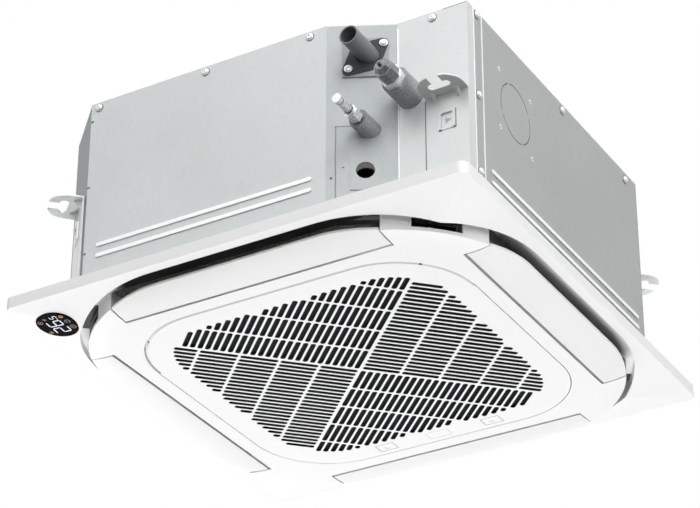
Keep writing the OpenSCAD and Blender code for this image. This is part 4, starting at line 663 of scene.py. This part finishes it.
# Darkest painted shadow, along cuts and edges in the sheet
CUT_SHADE_DARK = moulded_plastic("dark painted shadow in a cut", "#48494a", "#58595a", 0.8)

# Painted shade behind the slit round the fresh-air disc, whose middle is at this y and z
KNOCKOUT = (-129.0, 31.0)
flat_ring("knockout_gap", circle(38.4), circle(36.6), (CASE, *KNOCKOUT), RIGHT, -0.75, -0.1, SHADOW_PAINT_BLACK,
          "hose_rubber")

# Painted shadow round the two latches and the bare plate between them
LATCH_X = 76.0
LATCH_Y = 201.0
LATCH_GAP = (rectangle(25.6, 17.6), rectangle(24.1, 16.1))
PLATE_GAP = (rectangle(31.2, 17.2), rectangle(30.0, 16.0))
for gap_name, x, gap, material in (("latch_gap_left", -LATCH_X, LATCH_GAP, GAP_SHADE_GREY),
                                   ("latch_gap_right", LATCH_X, LATCH_GAP, GAP_SHADE_GREY),
                                   ("name_plate_gap", 0.0, PLATE_GAP, GAP_SHADE_PALE)):
    flat_ring(gap_name, *gap, (x, LATCH_Y, UNDERSIDE), DOWN, -0.4, 0.03, material, "latch_white", "grille")

# Painted shadow round each hanger's pressed tab
TAB_HEIGHT = -36.0
TAB_CUT = (rectangle(22.6, 25.6), rectangle(21.0, 24.0))
for tab_name, place, facing in (("near", (257.5, -249.0), FRONT), ("left", (-251.9, -251.9), (-HALF, -HALF, 0)),
                                ("right", (251.9, 251.9), (HALF, HALF, 0)),
                                ("back", (-251.9, 251.9), (-HALF, HALF, 0))):
    flat_ring("tab_cut_" + tab_name, *TAB_CUT, (*place, TAB_HEIGHT), facing, -0.4, 0.12, CUT_SHADE_DARK, "hose_rubber")

# Painted shadow beside the near hanger's plate, turned in at the plate's top and foot
HANGER_GAP = [(0.0, 0.0), (2.4, 0.0), (2.4, 0.7), (1.0, 1.2), (1.0, 134.5), (2.4, 135.2), (0.0, 135.8)]
flat_plate("hanger_shadow_gap", HANGER_GAP, (227.8, -247.0, -136.0), FRONT, -0.3, 0.1, CUT_SHADE_DARK)


# Painted highlights on the sheet's edges

HIGHLIGHT_SHEET = galvanised_sheet("sheet edge with a painted highlight", "#f6f7f7", "#fdfdfd")

# The rims of the four pilot holes round the fresh-air disc, with a painted highlight
PILOT_REACH = 40.5
for k, (along, up) in enumerate(((-1, -1), (1, -1), (-1, 1), (1, 1))):
    pilot_place = (CASE, KNOCKOUT[0] + along * PILOT_REACH, KNOCKOUT[1] + up * PILOT_REACH)
    flat_ring("pilot_rim_%d" % (k + 1), circle(2.9, 24), circle(1.6, 24), pilot_place, RIGHT, -0.3, 0.5, HIGHLIGHT_SHEET,
              "galvanised_sheet")

# Painted highlight on the corner sheet's fold beside the pipe plate
FOLD_FOOT = Vector((193.2, -247.5, -136.5))
fold = disc(0.8, 0.0, 250.0, 12)
fold.transform(Matrix.Translation(FOLD_FOOT * MM))
finished("corner_fold_edge", fold, HIGHLIGHT_SHEET)


# The display's digits and lamps lie on its window, in its own plane

DISPLAY_MIDDLE = Vector((-269, -257, -159))
DISPLAY_PLACE = (Matrix.Translation(DISPLAY_MIDDLE * MM) @ Matrix.Rotation(math.radians(45), 4, "Z")
                 @ Matrix.Rotation(math.radians(6.5), 4, "Y"))
# Heights in that plane: sunk a little into the window's face, and standing down from it
WINDOW_FACE = -1.5
MARK_TOP = WINDOW_FACE + 0.05
MARK_FOOT = WINDOW_FACE - 0.12


def on_window(across, up):
    """A place on the window as one reads it from its middle, in the window's own plane."""
    return Vector((-HALF * (across + up), HALF * (up - across)))


def window_loop(bm, outline, height):
    """An outline's points at a height in the window's plane."""
    return [bm.verts.new(DISPLAY_PLACE @ Vector((x * MM, y * MM, height * MM))) for x, y in outline]


def bar(bm, start, end, width, point=0.5):
    """A bar between two places, with pointed or blunt ends."""
    direction = (end - start).normalized()
    side = Vector((-direction.y, direction.x)) * width / 2
    tip, shoulder = direction * width * 0.12, direction * width * (0.12 + point)
    outline = (start + tip, start + shoulder + side, end - shoulder + side, end - tip, end - shoulder - side,
               start + shoulder - side)
    slab(bm, window_loop(bm, outline, MARK_FOOT), window_loop(bm, outline, MARK_TOP))


# The start and end of each stroke of a seven-segment number, one wide and two high
STROKES = {
    "a": ((0, 2), (1, 2)), "b": ((1, 2), (1, 1)), "c": ((1, 1), (1, 0)), "d": ((0, 0), (1, 0)),
    "e": ((0, 1), (0, 0)), "f": ((0, 2), (0, 1)), "g": ((0, 1), (1, 1)),
}


def number(bm, lit, middle, width, height, stroke):
    """A seven-segment number from its lit strokes."""
    for letter in lit:
        start, end = (on_window(middle[0] + (x - 0.5) * width, middle[1] + (y / 2 - 0.5) * height)
                      for x, y in STROKES[letter])
        bar(bm, start, end, stroke)


def ring(bm, middle, outer, inner, gap_at=0, gap=0):
    """A flat ring, or an open arc of it with a gap in degrees."""
    steps = 24
    centre = on_window(*middle)
    angles = [math.radians(gap_at + gap / 2 + (360 - gap) * k / steps) for k in range(steps + (gap > 0))]
    loops = []
    for radius, height in ((inner, MARK_TOP), (outer, MARK_TOP), (outer, MARK_FOOT), (inner, MARK_FOOT)):
        outline = [(centre.x + radius * math.cos(a), centre.y + radius * math.sin(a)) for a in angles]
        loops.append(window_loop(bm, outline, height))
    hoop(bm, loops, closed=not gap)
    if gap:
        bm.faces.new([loop[0] for loop in loops])
        bm.faces.new([loop[-1] for loop in reversed(loops)])


def rays(bm, middle, inner, outer, count, width, turn=0.0):
    """Short bars that point away from a middle."""
    middle = Vector(middle)
    for k in range(count):
        a = math.radians(turn) + 2 * math.pi * k / count
        way = Vector((math.cos(a), math.sin(a)))
        bar(bm, on_window(*(middle + way * inner)), on_window(*(middle + way * outer)), width, 0.2)


def lit_marks(name, material, *marks):
    """A piece of several marks, each a function and its values, as one closed mesh."""
    bm = bmesh.new()
    for shape, *values in marks:
        shape(bm, *values)
    bmesh.ops.recalc_face_normals(bm, faces=bm.faces)
    finished(name, as_mesh(name, bm), material)


WHITE_LIGHT = lit_segment("white display light", "#dfe3ee", "#f6f8ff", 0.9)
PALE_LIGHT = lit_segment("dim white display light", "#6d6e73", "#8b8c92", 0.8)
AMBER_LIGHT = lit_segment("amber display light", "#7a5426", "#96682f", 0.8)
BRIGHT_AMBER = lit_segment("bright amber display light", "#977136", "#b58a44", 0.8)

lit_marks("display_digits", WHITE_LIGHT,
          (number, "abged", (-10.6, 0.0), 10.0, 20.0, 1.7),
          (number, "afgecd", (3.8, 0.9), 10.0, 19.3, 1.7),
          (number, "afgcd", (16.3, -4.6), 4.6, 9.0, 1.0))
lit_marks("display_point", WHITE_LIGHT, (ring, (11.9, -8.3), 0.85, 0.15))
lit_marks("display_dim_marks", PALE_LIGHT,
          (ring, (3.4, -17.2), 3.7, 2.9, 60, 40),
          (rays, (3.4, -17.2), 0.2, 1.9, 2, 0.6, 100),
          (rays, (15.4, 8.3), 0.5, 2.8, 6, 0.6, 30))
lit_marks("display_amber_marks", AMBER_LIGHT,
          (ring, (10.9, 17.4), 3.5, 2.7, 250, 30),
          (ring, (10.9, 17.4), 1.2, 0.3),
          (ring, (-8.7, -17.2), 4.0, 3.2),
          (rays, (-8.7, -17.2), 0.6, 2.6, 4, 0.8, 25))
lit_marks("display_bright_marks", BRIGHT_AMBER,
          (ring, (-12.2, 17.0), 1.5, 0.3),
          (rays, (-12.2, 17.0), 1.9, 3.1, 8, 0.8, 10),
          (ring, (15.1, -15.5), 2.9, 1.7),
          (rays, (15.1, -15.5), 0.2, 1.6, 3, 0.9, 0))
